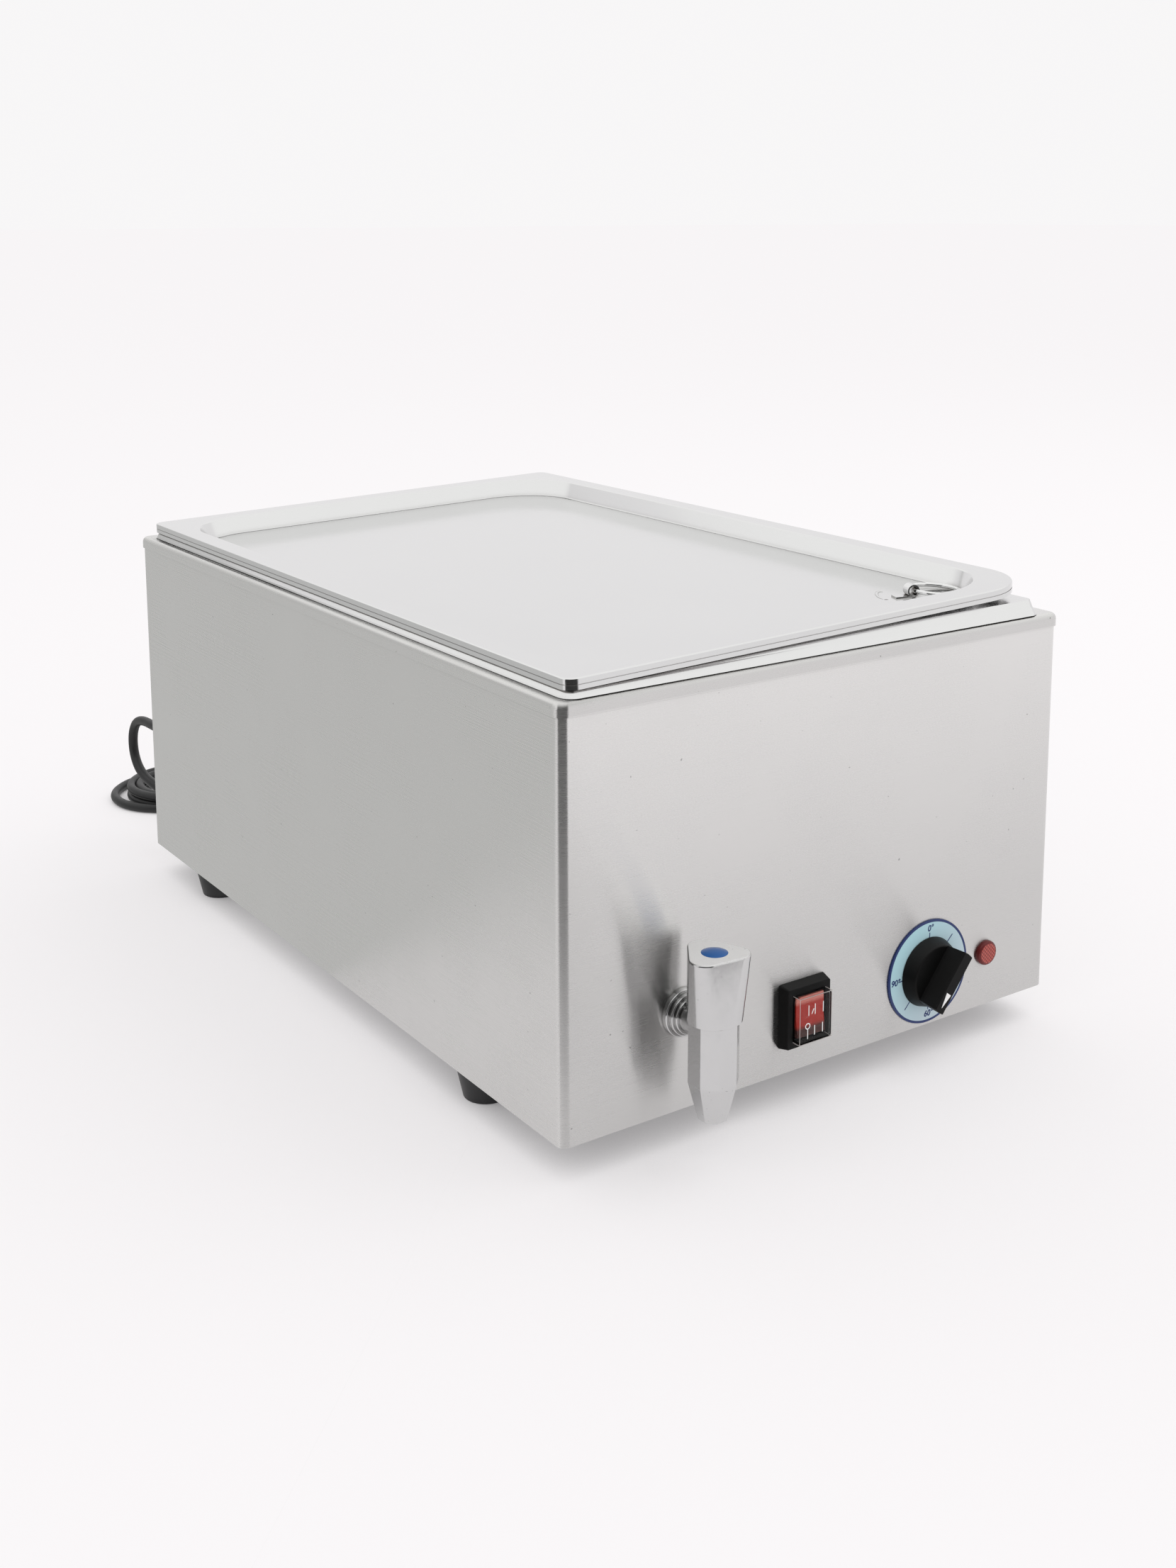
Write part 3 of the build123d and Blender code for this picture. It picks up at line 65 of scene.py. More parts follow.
def casing(x, y, z):
    """A point given in millimetres from the middle of the casing's lower edge."""
    return Vector((x * MM, y * MM, z * MM)) + body_mid + Vector((0, 0, casing_low_z))


# ------------------------------------------------------------------ camera
VIEW_AZIMUTH = radians(-34.91)
VIEW_ELEVATION = radians(9.86)
VIEW_DISTANCE = 1187.5
AIM_RIGHT = 41.35
AIM_UP = 133.8
AIM_HEIGHT = 120.0
LENS = 41.87
SENSOR_WIDTH = 36.0
SHIFT = (-0.0184, -0.1653)


def make_camera():
    """The camera at the photo's angle, its film shifted downwards as in a view camera."""
    back = Vector((
        sin(VIEW_AZIMUTH) * cos(VIEW_ELEVATION),
        -cos(VIEW_AZIMUTH) * cos(VIEW_ELEVATION),
        sin(VIEW_ELEVATION),
    ))
    right = Vector((0, 0, 1)).cross(back).normalized()
    up = back.cross(right)
    aim = casing(0, 0, AIM_HEIGHT) + (right * AIM_RIGHT + up * AIM_UP) * MM
    data = bpy.data.cameras.new("camera")
    data.sensor_width = SENSOR_WIDTH
    data.lens = LENS
    data.shift_x, data.shift_y = SHIFT
    camera = bpy.data.objects.new("camera", data)
    rotation = Matrix((right, up, back)).transposed().to_4x4()
    camera.matrix_world = Matrix.Translation(aim + back * VIEW_DISTANCE * MM) @ rotation
    bpy.context.scene.collection.objects.link(camera)
    bpy.context.scene.camera = camera


make_camera()
bpy.context.scene.view_settings.view_transform = "Standard"


# ------------------------------------------------------------------ mains cord
CORD_DIAMETER = 7.0
CORD_R = CORD_DIAMETER / 2
GLAND_X, GLAND_Z = -153.0, 75.0
REAR_Y = 270.0
LAY_Z = -20.0 + CORD_R
COIL_X, COIL_Y = -92.0, 418.0
COIL_MEAN_R = 38.0
COIL_LOW_Z = LAY_Z + 0.9
COIL_HIGH_Z = COIL_LOW_Z + CORD_DIAMETER
COIL_INNER_R = COIL_MEAN_R - CORD_R
COIL_OUTER_R = COIL_MEAN_R + CORD_R
PLUG_X, PLUG_Y, PLUG_R = 14.0, 366.0, 18.4


def coil_point(radius, angle_deg, z):
    """A point of the coil by radius, angle and height."""
    angle = radians(angle_deg)
    return (COIL_X + radius * cos(angle), COIL_Y + radius * sin(angle), z)


CORD_POINTS = [
    (GLAND_X, REAR_Y, GLAND_Z),
    (-153.3, 304.0, 74.8),
    (-154.4, 340.0, 74.0),
    (-155.0, 353.0, 61.1),
    (-155.0, 353.0, 42.9),
    (-154.5, 340.0, 30.2),
    (-151.0, 316.0, 25.0),
    (-136.0, 298.0, 13.0),
    (-106.0, 291.0, -3.0),
    (-71.0, 303.0, LAY_Z),
    (-40.0, 332.0, LAY_Z),
    (-26.0, 372.0, LAY_Z),
    (-29.0, 414.0, LAY_Z),
    (-50.0, 452.0, LAY_Z),
    (-84.0, 470.1, LAY_Z),
    (-117.6, 469.0, LAY_Z),
    (-144.0, 442.6, LAY_Z),
    (-144.0, 405.4, LAY_Z),
    (-117.6, 379.0, LAY_Z + 0.3),
    coil_point(COIL_OUTER_R, 270.0, COIL_LOW_Z),
]
TAIL_POINTS = [
    coil_point(COIL_OUTER_R, 270.0, COIL_HIGH_Z),
    (-62.0, COIL_Y - COIL_OUTER_R, COIL_HIGH_Z),
    (-34.0, 372.0, COIL_HIGH_Z - 0.6),
    (-10.0, PLUG_Y + 0.6, -20.0 + PLUG_R - 1.5),
    (PLUG_X, PLUG_Y, -20.0 + PLUG_R),
]
STEPS_PER_TURN = 16
CHANGE_FROM = 0.75


def coil_turns():
    """The coil's four turns: outer and inner below, then inner and outer above.

    The last quarter of each turn leads over to the next one.
    """
    tracks = (
        (COIL_OUTER_R, COIL_LOW_Z),
        (COIL_INNER_R, COIL_LOW_Z),
        (COIL_INNER_R, COIL_HIGH_Z),
        (COIL_OUTER_R, COIL_HIGH_Z),
    )
    points = []
    for turn, (radius, z) in enumerate(tracks):
        next_radius, next_z = tracks[min(turn + 1, len(tracks) - 1)]
        for step in range(1, STEPS_PER_TURN + 1):
            part = step / STEPS_PER_TURN
            shift = max(0.0, part - CHANGE_FROM) / (1.0 - CHANGE_FROM)
            r = radius + (next_radius - radius) * shift
            level = z + (next_z - z) * shift
            points.append(coil_point(r, 270.0 + 360.0 * part, level))
    return points[:-1]


def make_cord():
    """The whole cord as one smooth line: strand, coil and tail."""
    data = bpy.data.curves.new("mains_cord_line", "CURVE")
    data.dimensions = "3D"
    data.bevel_depth = 1.0
    data.bevel_resolution = 6
    data.resolution_u = 10
    data.use_fill_caps = True
    route = [casing(*p) for p in CORD_POINTS + coil_turns() + TAIL_POINTS]
    spline = data.splines.new("NURBS")
    spline.points.add(len(route) - 1)
    for point, place in zip(spline.points, route):
        point.co = (*place, 1.0)
        point.radius = CORD_R * MM
    spline.order_u = 3
    spline.use_endpoint_u = True
    cord = bpy.data.objects.new("mains_cord_line", data)
    bpy.context.scene.collection.objects.link(cord)
    return cord


cord = make_cord()
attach(cord, "base")
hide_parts("mains_cord", "mains_cord_coil", "cord_tail")


# ------------------------------------------------------------------ material helpers
class Surface:
    """A node material with short calls for the nodes that the finishes below need."""

    def __init__(self, name, base, metallic=0.0, roughness=0.5):
        self.material = bpy.data.materials.new(name)
        self.material.use_nodes = True
        self.tree = self.material.node_tree
        self.shader = self.tree.nodes["Principled BSDF"]
        self.set("Base Color", (*base, 1.0))
        self.set("Metallic", metallic)
        self.set("Roughness", roughness)

    def set(self, socket, value):
        """Put a uniform value on the shader."""
        self.shader.inputs[socket].default_value = value

    def node(self, kind, **values):
        """A new node with some of its inputs or settings filled in."""
        node = self.tree.nodes.new(kind)
        for key, value in values.items():
            if hasattr(node, key):
                setattr(node, key, value)
            else:
                node.inputs[key.replace("_", " ")].default_value = value
        return node

    def link(self, out, into):
        """Join two sockets."""
        self.tree.links.new(out, into)

    def place(self, scale=(1, 1, 1), rotation=(0, 0, 0)):
        """Object coordinates in metres, scaled."""
        coordinates = self.node("ShaderNodeTexCoord")
        mapping = self.node("ShaderNodeMapping")
        mapping.inputs["Scale"].default_value = scale
        mapping.inputs["Rotation"].default_value = rotation
        self.link(coordinates.outputs["Object"], mapping.inputs["Vector"])
        return mapping.outputs["Vector"]

    def along(self, axis):
        """One object coordinate in metres."""
        split = self.node("ShaderNodeSeparateXYZ")
        self.link(self.place(), split.inputs["Vector"])
        return split.outputs[axis]

    def away(self, point, mask=(1, 1, 1)):
        """Distance in metres from a point, counting only the axes in the mask."""
        gap = self.node("ShaderNodeVectorMath", operation="DISTANCE")
        self.link(self.place(mask), gap.inputs[0])
        gap.inputs[1].default_value = tuple(m * p for m, p in zip(mask, point))
        return gap.outputs["Value"]

    def noise(self, scale, stretch=(1, 1, 1), detail=3.0, rough=0.55):
        """A noise value round one half."""
        noise = self.node("ShaderNodeTexNoise", Scale=scale, Detail=detail, Roughness=rough)
        self.link(self.place(stretch), noise.inputs["Vector"])
        return noise.outputs["Fac"]

    def spread(self, value, low, high, from_low=0.3, from_high=0.7):
        """A value moved from one range to another."""
        span = self.node("ShaderNodeMapRange", From_Min=from_low, From_Max=from_high, To_Min=low, To_Max=high)
        self.link(value, span.inputs["Value"])
        return span.outputs["Result"]

    def math(self, operation, first, second):
        """Two values or sockets joined by a sum."""
        node = self.node("ShaderNodeMath", operation=operation)
        for socket, value in zip(node.inputs, (first, second)):
            if isinstance(value, (int, float)):
                socket.default_value = value
            else:
                self.link(value, socket)
        return node.outputs["Value"]

    def tint(self, value, dark, light):
        """A colour between two colours, or colour sockets, by a value."""
        mix = self.node("ShaderNodeMix", data_type="RGBA")
        sockets = [socket for socket in mix.inputs if socket.type == "RGBA"]
        for socket, colour in zip(sockets, (dark, light)):
            if isinstance(colour, tuple):
                socket.default_value = (*colour, 1.0)
            else:
                self.link(colour, socket)
        self.link(value, mix.inputs[0])
        return [socket for socket in mix.outputs if socket.type == "RGBA"][0]

    def bump(self, value, strength, distance):
        """Fine relief from a value; distance in metres."""
        bump = self.node("ShaderNodeBump", Strength=strength, Distance=distance)
        self.link(value, bump.inputs["Height"])
        if self.shader.inputs["Normal"].links:
            self.link(self.shader.inputs["Normal"].links[0].from_socket, bump.inputs["Normal"])
        self.link(bump.outputs["Normal"], self.shader.inputs["Normal"])

    def crevices(self, reach, open_from=0.75):
        """One in narrow gaps and corners, where shade falls, nought in the open; reach in metres; the
        finishes paint shade into their colours by it.
        """
        shelter = self.node("ShaderNodeAmbientOcclusion", samples=6, Distance=reach)
        return self.spread(shelter.outputs["AO"], 1.0, 0.0, 0.15, open_from)

    def normal_along(self, axis):
        """How far the surface's normal points along an axis, from minus one to one."""
        split = self.node("ShaderNodeSeparateXYZ")
        self.link(self.node("ShaderNodeNewGeometry").outputs["Normal"], split.inputs["Vector"])
        return split.outputs[axis]

    def facing(self, axis, low, high):
        """Nought to one as the surface turns towards an axis."""
        return self.spread(self.normal_along(axis), 0.0, 1.0, low, high)

    def rolled_edges(self, lift):
        """Lets upright faces catch light from above, as hand-rolled sheet edges do."""
        geometry = self.node("ShaderNodeNewGeometry")
        level = self.math("ABSOLUTE", self.normal_along("Z"), 0.0)
        upright = self.spread(level, lift, 0.0, 0.5, 0.9)
        raised = self.node("ShaderNodeVectorMath", operation="SCALE")
        raised.inputs[0].default_value = (0, 0, 1)
        self.link(upright, raised.inputs["Scale"])
        total = self.node("ShaderNodeVectorMath", operation="ADD")
        self.link(geometry.outputs["Normal"], total.inputs[0])
        self.link(raised.outputs["Vector"], total.inputs[1])
        unit = self.node("ShaderNodeVectorMath", operation="NORMALIZE")
        self.link(total.outputs["Vector"], unit.inputs[0])
        self.link(unit.outputs["Vector"], self.shader.inputs["Normal"])

    def brushed_across(self, amount):
        """Highlights drawn out upright, as on sheet whose brush lines run level."""
        tangent = self.node("ShaderNodeTangent", direction_type="RADIAL", axis="Z")
        self.link(tangent.outputs["Tangent"], self.shader.inputs["Tangent"])
        self.set("Anisotropic", amount)
        self.set("Anisotropic Rotation", 0.25)

    def colour_from(self, socket):
        self.link(socket, self.shader.inputs["Base Color"])

    def roughness_from(self, socket):
        self.link(socket, self.shader.inputs["Roughness"])


def shade(base, factor):
    """A colour made lighter or darker."""
    return tuple(min(1.0, c * factor) for c in base)


# ------------------------------------------------------------------ materials
# Dark brown for painted shade in crevices and grooves, standing for grime there too, and for the dark dot by
# the lid's dent.
SHADE_AND_GRIME = (0.10, 0.085, 0.07)


def brushed_steel(name, base, roughness, squeeze, across=0.0, line_scale=1800.0, relief=0.0000006):
    """Sheet steel with fine straight brush lines, faint smudges, a few dark specks and painted shade in its
    crevices.

    With across set, highlights are drawn out across the lines, and the front faces get painted light: paler
    towards their top, darker towards their foot and darker again on the skirt band.
    """
    surface = Surface(name, base, 1.0, roughness)
    lines = surface.noise(line_scale, squeeze, 4.0, 0.7)
    smudges = surface.noise(14.0, (1, 1, 1), 5.0, 0.6)
    grain = surface.spread(lines, -0.025, 0.025)
    stain = surface.spread(smudges, -0.02, 0.03)
    surface.roughness_from(surface.math("ADD", surface.math("ADD", grain, stain), roughness))
    colour = surface.tint(lines, shade(base, 0.97), shade(base, 1.02))
    if across:
        # Painted light on the front faces: darker towards the foot, paler towards the top, darker again on
        # the skirt band.
        front = surface.math("SUBTRACT", 1.0, surface.facing("Y", -0.9, -0.4))
        height = surface.along("Z")
        rise = surface.spread(height, 0.0, 1.0, PALE_FROM_Z, PALE_TO_Z)
        skirt = surface.spread(height, 0.0, 0.8, SKIRT_LOW_Z, SKIRT_LOW_Z + 0.5 * MM)
        rise = surface.math("SUBTRACT", rise, skirt)
        deep = surface.tint(rise, shade(base, 0.86), shade(base, 1.05))
        high = surface.tint(rise, shade(base, 0.90), shade(base, 1.09))
        colour = surface.tint(front, colour, surface.tint(lines, deep, high))
    specks = surface.spread(surface.noise(420.0, (1, 1, 1), 1.0, 0.4), 0.0, 0.6, 0.80, 0.82)
    colour = surface.tint(specks, colour, shade(base, 0.3))
    # Painted shade: crevices and narrow gaps are darkened towards a grime brown.
    surface.colour_from(surface.tint(surface.math("MULTIPLY", surface.crevices(0.0018), 0.8), colour, SHADE_AND_GRIME))
    surface.bump(lines, 0.35, relief)
    if across:
        surface.brushed_across(across)
    return surface.material


def rolled_steel(name, base, roughness):
    """Bright rolled sheet: slow waviness, scratches, wiped stains, patchy painted shade in a grime brown in
    its grooves, and a dark dot by its dent.
    """
    surface = Surface(name, base, 1.0, roughness)
    scratches = surface.noise(900.0, (0.02, 1, 1), 3.0, 0.6)
    stains = surface.noise(9.0, (1, 1, 1), 6.0, 0.65)
    waves = surface.noise(6.0, (1, 1, 1), 1.0, 0.4)
    fine = surface.spread(scratches, -0.02, 0.03)
    wiped = surface.spread(stains, -0.03, 0.05)
    surface.roughness_from(surface.math("ADD", surface.math("ADD", fine, wiped), roughness))
    colour = surface.tint(stains, shade(base, 0.97), shade(base, 1.02))
    # Painted shade: grooves and crevices are darkened towards a grime brown, patchy by a fine noise.
    patchiness = surface.spread(surface.noise(700.0, (1, 1, 1), 3.0, 0.7), 0.70, 1.0)
    groove_shade = surface.math("MULTIPLY", surface.crevices(0.0045, 0.86), patchiness)
    colour = surface.tint(groove_shade, colour, SHADE_AND_GRIME)
    dot = surface.spread(surface.away(DENT_AT + DENT_DOT, (1, 1, 0)), 0.85, 0.0, 0.9 * MM, 1.5 * MM)
    surface.colour_from(surface.tint(dot, colour, SHADE_AND_GRIME))
    surface.rolled_edges(0.3)
    surface.bump(waves, 0.25, 0.0006)
    return surface.material


def chrome(name, base, roughness):
    """Plated metal, dulled here and there, with a few pits, a rubbed top that is also painted paler as a
    painted highlight, and painted shade in its crevices.
    """
    surface = Surface(name, base, 1.0, roughness)
    cloud = surface.noise(160.0, (1, 1, 1), 4.0, 0.6)
    pits = surface.noise(900.0, (1, 1, 1), 2.0, 0.5)
    pitted = surface.spread(pits, 0.0, 1.0, 0.72, 0.78)
    top = surface.facing("Z", 0.88, 0.97)
    scuffs = surface.noise(1500.0, (0.05, 1, 1), 3.0, 0.7)
    rubbed = surface.math("MULTIPLY", top, surface.spread(scuffs, 0.22, 0.42))
    cloudy = surface.math("ADD", surface.spread(cloud, 0.0, 0.08), roughness)
    surface.roughness_from(surface.math("ADD", rubbed, cloudy))
    # Painted highlight: faces turned upwards are painted paler, towards white; the rubbing itself is only in
    # the roughness.
    colour = surface.tint(top, base, (1.0, 1.0, 1.0))
    colour = surface.tint(pitted, colour, shade(base, 0.35))
    # Painted shade: crevices and narrow gaps are darkened towards a grime brown.
    surface.colour_from(surface.tint(surface.math("MULTIPLY", surface.crevices(0.0025), 0.85), colour, SHADE_AND_GRIME))
    surface.bump(cloud, 0.10, 0.0002)
    return surface.material


def moulded(name, base, roughness, grain=2500.0, relief=0.00002, coat=0.0, gloss=0.5, top=0.0):
    """Moulded plastic or rubber with a fine grain; with top set, faces turned upwards are painted that grey,
    a painted highlight.
    """
    surface = Surface(name, base, 0.0, roughness)
    skin = surface.noise(grain, (1, 1, 1), 2.0, 0.5)
    touch = surface.noise(60.0, (1, 1, 1), 3.0, 0.6)
    surface.roughness_from(surface.math("ADD", surface.spread(touch, -0.05, 0.06), roughness))
    colour = surface.tint(touch, shade(base, 0.95), shade(base, 1.06))
    # Painted highlight: faces turned upwards are painted a lighter grey.
    if top:
        colour = surface.tint(surface.facing("Z", 0.15, 0.95), colour, (top, top, top))
    surface.colour_from(colour)
    surface.bump(skin, 0.3, relief)
    surface.set("Coat Weight", coat)
    surface.set("Specular IOR Level", gloss)
    return surface.material


def dial_face(name):
    """Pale blue plate with a navy rim, greener to the upper left and greyer to the lower right."""
    surface = Surface(name, DIAL_BLUE, 0.0, 0.4)
    low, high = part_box("dial_plate")
    slope = surface.math("SUBTRACT", surface.along("Z"), surface.along("X"))
    middle = (low.z + high.z - low.x - high.x) / 2
    turn = surface.spread(slope, 0.0, 1.0, middle - 35 * MM, middle + 35 * MM)
    face = surface.tint(turn, DIAL_GREY, DIAL_BLUE)
    rim = surface.spread(surface.away((low + high) / 2, (1, 0, 1)), 0.0, 1.0, 29.8 * MM, 29.9 * MM)
    surface.colour_from(surface.tint(rim, face, NAVY))
    touch = surface.noise(90.0, (1, 1, 1), 3.0, 0.6)
    surface.roughness_from(surface.spread(touch, 0.34, 0.46))
    surface.bump(touch, 0.2, 0.00003)
    surface.set("Specular IOR Level", 0.3)
    return surface.material


def rocker_plastic(name):
    """Red rocker: a painted highlight along its upper edge and painted shade, with dark dots, over its lowest
    part.
    """
    surface = Surface(name, (0.42, 0.03, 0.02), 0.0, 0.25)
    low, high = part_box("switch_rocker")
    tall = high.z - low.z
    height = surface.along("Z")
    # Painted highlight along the upper edge; painted shade, with dark dots, over the lowest part.
    lit_edge = surface.spread(height, 0.0, 1.0, low.z + 0.80 * tall, low.z + 0.90 * tall)
    lower = surface.spread(height, 1.0, 0.0, low.z + 0.18 * tall, low.z + 0.30 * tall)
    dots = surface.noise(2600.0, (1, 1, 1), 0.0, 0.5)
    dotted_shade = surface.tint(dots, (0.03, 0.012, 0.010), (0.12, 0.045, 0.04))
    colour = surface.tint(lit_edge, (0.44, 0.035, 0.025), (0.66, 0.22, 0.18))
    surface.colour_from(surface.tint(lower, colour, dotted_shade))
    surface.roughness_from(surface.spread(surface.noise(80.0), 0.20, 0.32))
    surface.bump(dots, 0.2, 0.00002)
    surface.set("Specular IOR Level", 0.3)
    return surface.material


def clear_plastic(name):
    """Clear cover, a little cloudy."""
    surface = Surface(name, (0.95, 0.96, 0.96), 0.0, 0.06)
    haze = surface.noise(120.0, (1, 1, 1), 3.0, 0.6)
    surface.roughness_from(surface.spread(haze, 0.03, 0.12))
    surface.bump(haze, 0.1, 0.00005)
    surface.set("Transmission Weight", 1.0)
    surface.set("IOR", 1.12)
    return surface.material


def red_lens(name):
    """Red lens: a plain rim round a field of small crossed ridges."""
    surface = Surface(name, (0.42, 0.012, 0.02), 0.0, 0.2)
    low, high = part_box("lamp_lens")
    facets = surface.node("ShaderNodeTexVoronoi", Scale=620.0, Randomness=0.0)
    surface.link(surface.place((1, 0.02, 1), (0, radians(45), 0)), facets.inputs["Vector"])
    ridge = surface.spread(facets.outputs["Distance"], 0.0, 1.0, 0.15, 0.65)
    field = surface.spread(surface.away((low + high) / 2, (1, 0, 1)), 1.0, 0.0, 5.6 * MM, 6.0 * MM)
    pattern = surface.tint(ridge, (0.56, 0.10, 0.075), (0.16, 0.018, 0.018))
    surface.colour_from(surface.tint(field, (0.13, 0.016, 0.016), pattern))
    surface.roughness_from(surface.spread(surface.noise(70.0), 0.15, 0.28))
    surface.bump(surface.math("MULTIPLY", ridge, field), 0.7, 0.0004)
    surface.set("Specular IOR Level", 0.3)
    return surface.material


# Heights of the painted light on the casing's front: darker below PALE_FROM_Z, paler up to PALE_TO_Z, darker
# again above SKIRT_LOW_Z.
PALE_FROM_Z = wall_low.z + 70 * MM
PALE_TO_Z = wall_high.z - 10 * MM
SKIRT_LOW_Z = wall_high.z - 4.1 * MM
DENT_ACROSS = Vector((2.5, -1.7, 0)) * MM
DENT_ALONG = Vector((5.7, 8.2, 0)) * MM
LEVEL = (0.006, 0.006, 1)
ENDWISE = (1, 0.006, 1)
STEEL = (0.705, 0.70, 0.69)
DIAL_BLUE = (0.42, 0.66, 0.72)
DIAL_GREY = (0.52, 0.62, 0.68)
NAVY = (0.022, 0.040, 0.145)
NAVY_GLOSS = 0.3
strap_low, strap_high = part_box("lid_strap")
DENT_AT = (strap_low + strap_high) / 2 + Vector((-8.0, 10.8, 0)) * MM
DENT_DOT = Vector((-5.4, -9.0, 0)) * MM
materials = {
    # brushed_stainless has across set, so its front faces carry the painted light gradient.
    "brushed_stainless": brushed_steel("brushed_stainless", STEEL, 0.26, LEVEL, 1.0),
    "polished_stainless": rolled_steel("polished_stainless", (0.73, 0.73, 0.73), 0.13),
    "plain_stainless": brushed_steel("plain_stainless", (0.60, 0.60, 0.60), 0.42, ENDWISE),
    "chrome_plate": chrome("chrome_plate", (0.62, 0.62, 0.62), 0.13),
    "chromed_wire": chrome("chromed_wire", (0.74, 0.74, 0.74), 0.06),
    "zinc_steel": chrome("zinc_steel", (0.55, 0.55, 0.53), 0.30),
    "brass": chrome("brass", (0.65, 0.48, 0.22), 0.25),
    "copper": chrome("copper", (0.72, 0.38, 0.25), 0.25),
    # top paints the upward faces of the black plastic a lighter grey, a painted highlight.
    "black_plastic": moulded("black_plastic", (0.004, 0.004, 0.004), 0.42, gloss=0.12, top=0.014),
    "white_plastic": moulded("white_plastic", (0.75, 0.75, 0.72), 0.40),
    "blue_plastic": moulded("blue_plastic", (0.015, 0.105, 0.34), 0.22, 1500.0, 0.00001, 0.1, 0.3),
    "red_plastic": rocker_plastic("red_plastic"),
    "clear_plastic": clear_plastic("clear_plastic"),
    "red_lens": red_lens("red_lens"),
    "pale_blue_plate": dial_face("pale_blue_plate"),
    "white_paint": moulded("white_paint", (0.85, 0.85, 0.84), 0.40),
    "black_rubber": moulded("black_rubber", (0.010, 0.010, 0.011), 0.45, 1800.0, 0.00003),
    "wire_sheath": moulded("wire_sheath", (0.22, 0.10, 0.04), 0.40),
}
# Pale strips on the edges of the clear cover: a painted highlight for the light those edges catch.
edge_highlight = moulded("edge_highlight", (0.50, 0.47, 0.45), 0.35)
navy_paint = moulded("navy_paint", NAVY, 0.40, gloss=NAVY_GLOSS)


def paint_nodes():
    """Give each CAD node the finish that the record names for it."""
    for subpart in frame["record"]["subparts"]:
        node = nodes[subpart["node"]]
        node.data.materials.clear()
        node.data.materials.append(materials[subpart["material_slot"]])


paint_nodes()
cord.data.materials.append(materials["black_rubber"])


# ------------------------------------------------------------------ printed marks
SLANT = 0.15
BOLDNESS = 0.14
STROKE = 0.5
TICK_WIDTH = 0.6
TICK_INNER = 14.0
TICK_OUTER = (22.8, 25.6)
TICK_FIRST_DEG, TICK_STEP_DEG = 1.0, 44.4
TICK_COUNT = 7
DEGREES_PER_TICK = 15
NUMERAL_R, NUMERAL_H = 25.3, 4.9
RING_INNER, RING_OUTER = 28.8, 30.1
RIM = 0.3


class Print:
    """Thin raised marks facing the user, drawn in millimetres right and up from a centre on a face."""

    def __init__(self, centre, height=0.05):
        self.centre = centre
        self.height = height
        self.verts = []
        self.faces = []

    def patch(self, points, height=None):
        """One closed slab from its corners, standing a little proud of the face."""
        first = len(self.verts)
        count = len(points)
        for y in (-(height or self.height), 0.0):
            self.verts += [self.centre + Vector((x, y, z)) * MM for x, z in points]
        self.faces.append(tuple(range(first, first + count)))
        self.faces.append(tuple(range(first + 2 * count - 1, first + count - 1, -1)))
        for i in range(count):
            j = (i + 1) % count
            self.faces.append((first + j, first + i, first + count + i, first + count + j))

    def bar(self, start, end, width):
        """A straight stroke with square ends."""
        run = Vector((end[0] - start[0], end[1] - start[1])).normalized() * width / 2
        side = Vector((-run.y, run.x))
        corners = (Vector(start) - side, Vector(end) - side, Vector(end) + side, Vector(start) + side)
        self.patch([tuple(corner) for corner in corners])

    def ring(self, x, z, inner, outer, steps):
        """A closed ring round a point."""
        first = len(self.verts)
        for step in range(steps):
            angle = 2 * pi * step / steps
            for r, y in ((inner, -self.height), (outer, -self.height), (outer, 0.0), (inner, 0.0)):
                self.verts.append(self.centre + Vector((x + r * cos(angle), y, z + r * sin(angle))) * MM)
        for step in range(steps):
            here, there = (first + 4 * (k % steps) for k in (step, step + 1))
            for i in range(4):
                j = (i + 1) % 4
                self.faces.append((here + i, here + j, there + j, there + i))

    def words(self, text, x, z, size):
        """Upright lettering centred on a point."""
        data = bpy.data.curves.new("words", "FONT")
        data.body = text
        data.size = size
        data.shear = SLANT
        data.offset = BOLDNESS
        data.extrude = self.height / 2
        data.align_x = "CENTER"
        data.align_y = "CENTER"
        holder = bpy.data.objects.new("words", data)
        mesh = bpy.data.meshes.new_from_object(holder)
        first = len(self.verts)
        for v in mesh.vertices:
            self.verts.append(self.centre + Vector((x + v.co.x, -v.co.z - self.height / 2, z + v.co.y)) * MM)
        self.faces += [tuple(first + i for i in polygon.vertices) for polygon in mesh.polygons]
        bpy.data.objects.remove(holder)
        bpy.data.meshes.remove(mesh)

    def finish(self, name, body, paint):
        """Make the object, give it its paint and let it move with a body."""
        ride_mesh(name, self.verts, self.faces, body, paint)


def ride_mesh(name, verts, faces, body, paint):
    """A new object from points and faces, moving with a body."""
    mesh = bpy.data.meshes.new(name)
    mesh.from_pydata([tuple(v) for v in verts], [], faces)
    mesh.materials.append(paint)
    made = bpy.data.objects.new(name, mesh)
    bpy.context.scene.collection.objects.link(made)
    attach(made, body)
    return made


def dial_marks():
    """Navy ring, ticks and temperatures on the dial plate."""
    marks = Print(Vector((dial_centre.x, dial_low.y, dial_centre.z)))
    marks.ring(0, 0, RING_INNER, RING_OUTER, 96)
    for number in range(TICK_COUNT):
        angle = radians(TICK_FIRST_DEG + TICK_STEP_DEG * number)
        far = TICK_OUTER[number % 2]
        start = (TICK_INNER * sin(angle), TICK_INNER * cos(angle))
        marks.bar(start, (far * sin(angle), far * cos(angle)), TICK_WIDTH)
        if number % 2 == 0:
            text = f"{number * DEGREES_PER_TICK}\u00b0"
            marks.words(text, NUMERAL_R * sin(angle) + 0.4, NUMERAL_R * cos(angle), NUMERAL_H)
    marks.finish("dial_marks", "base", navy_paint)


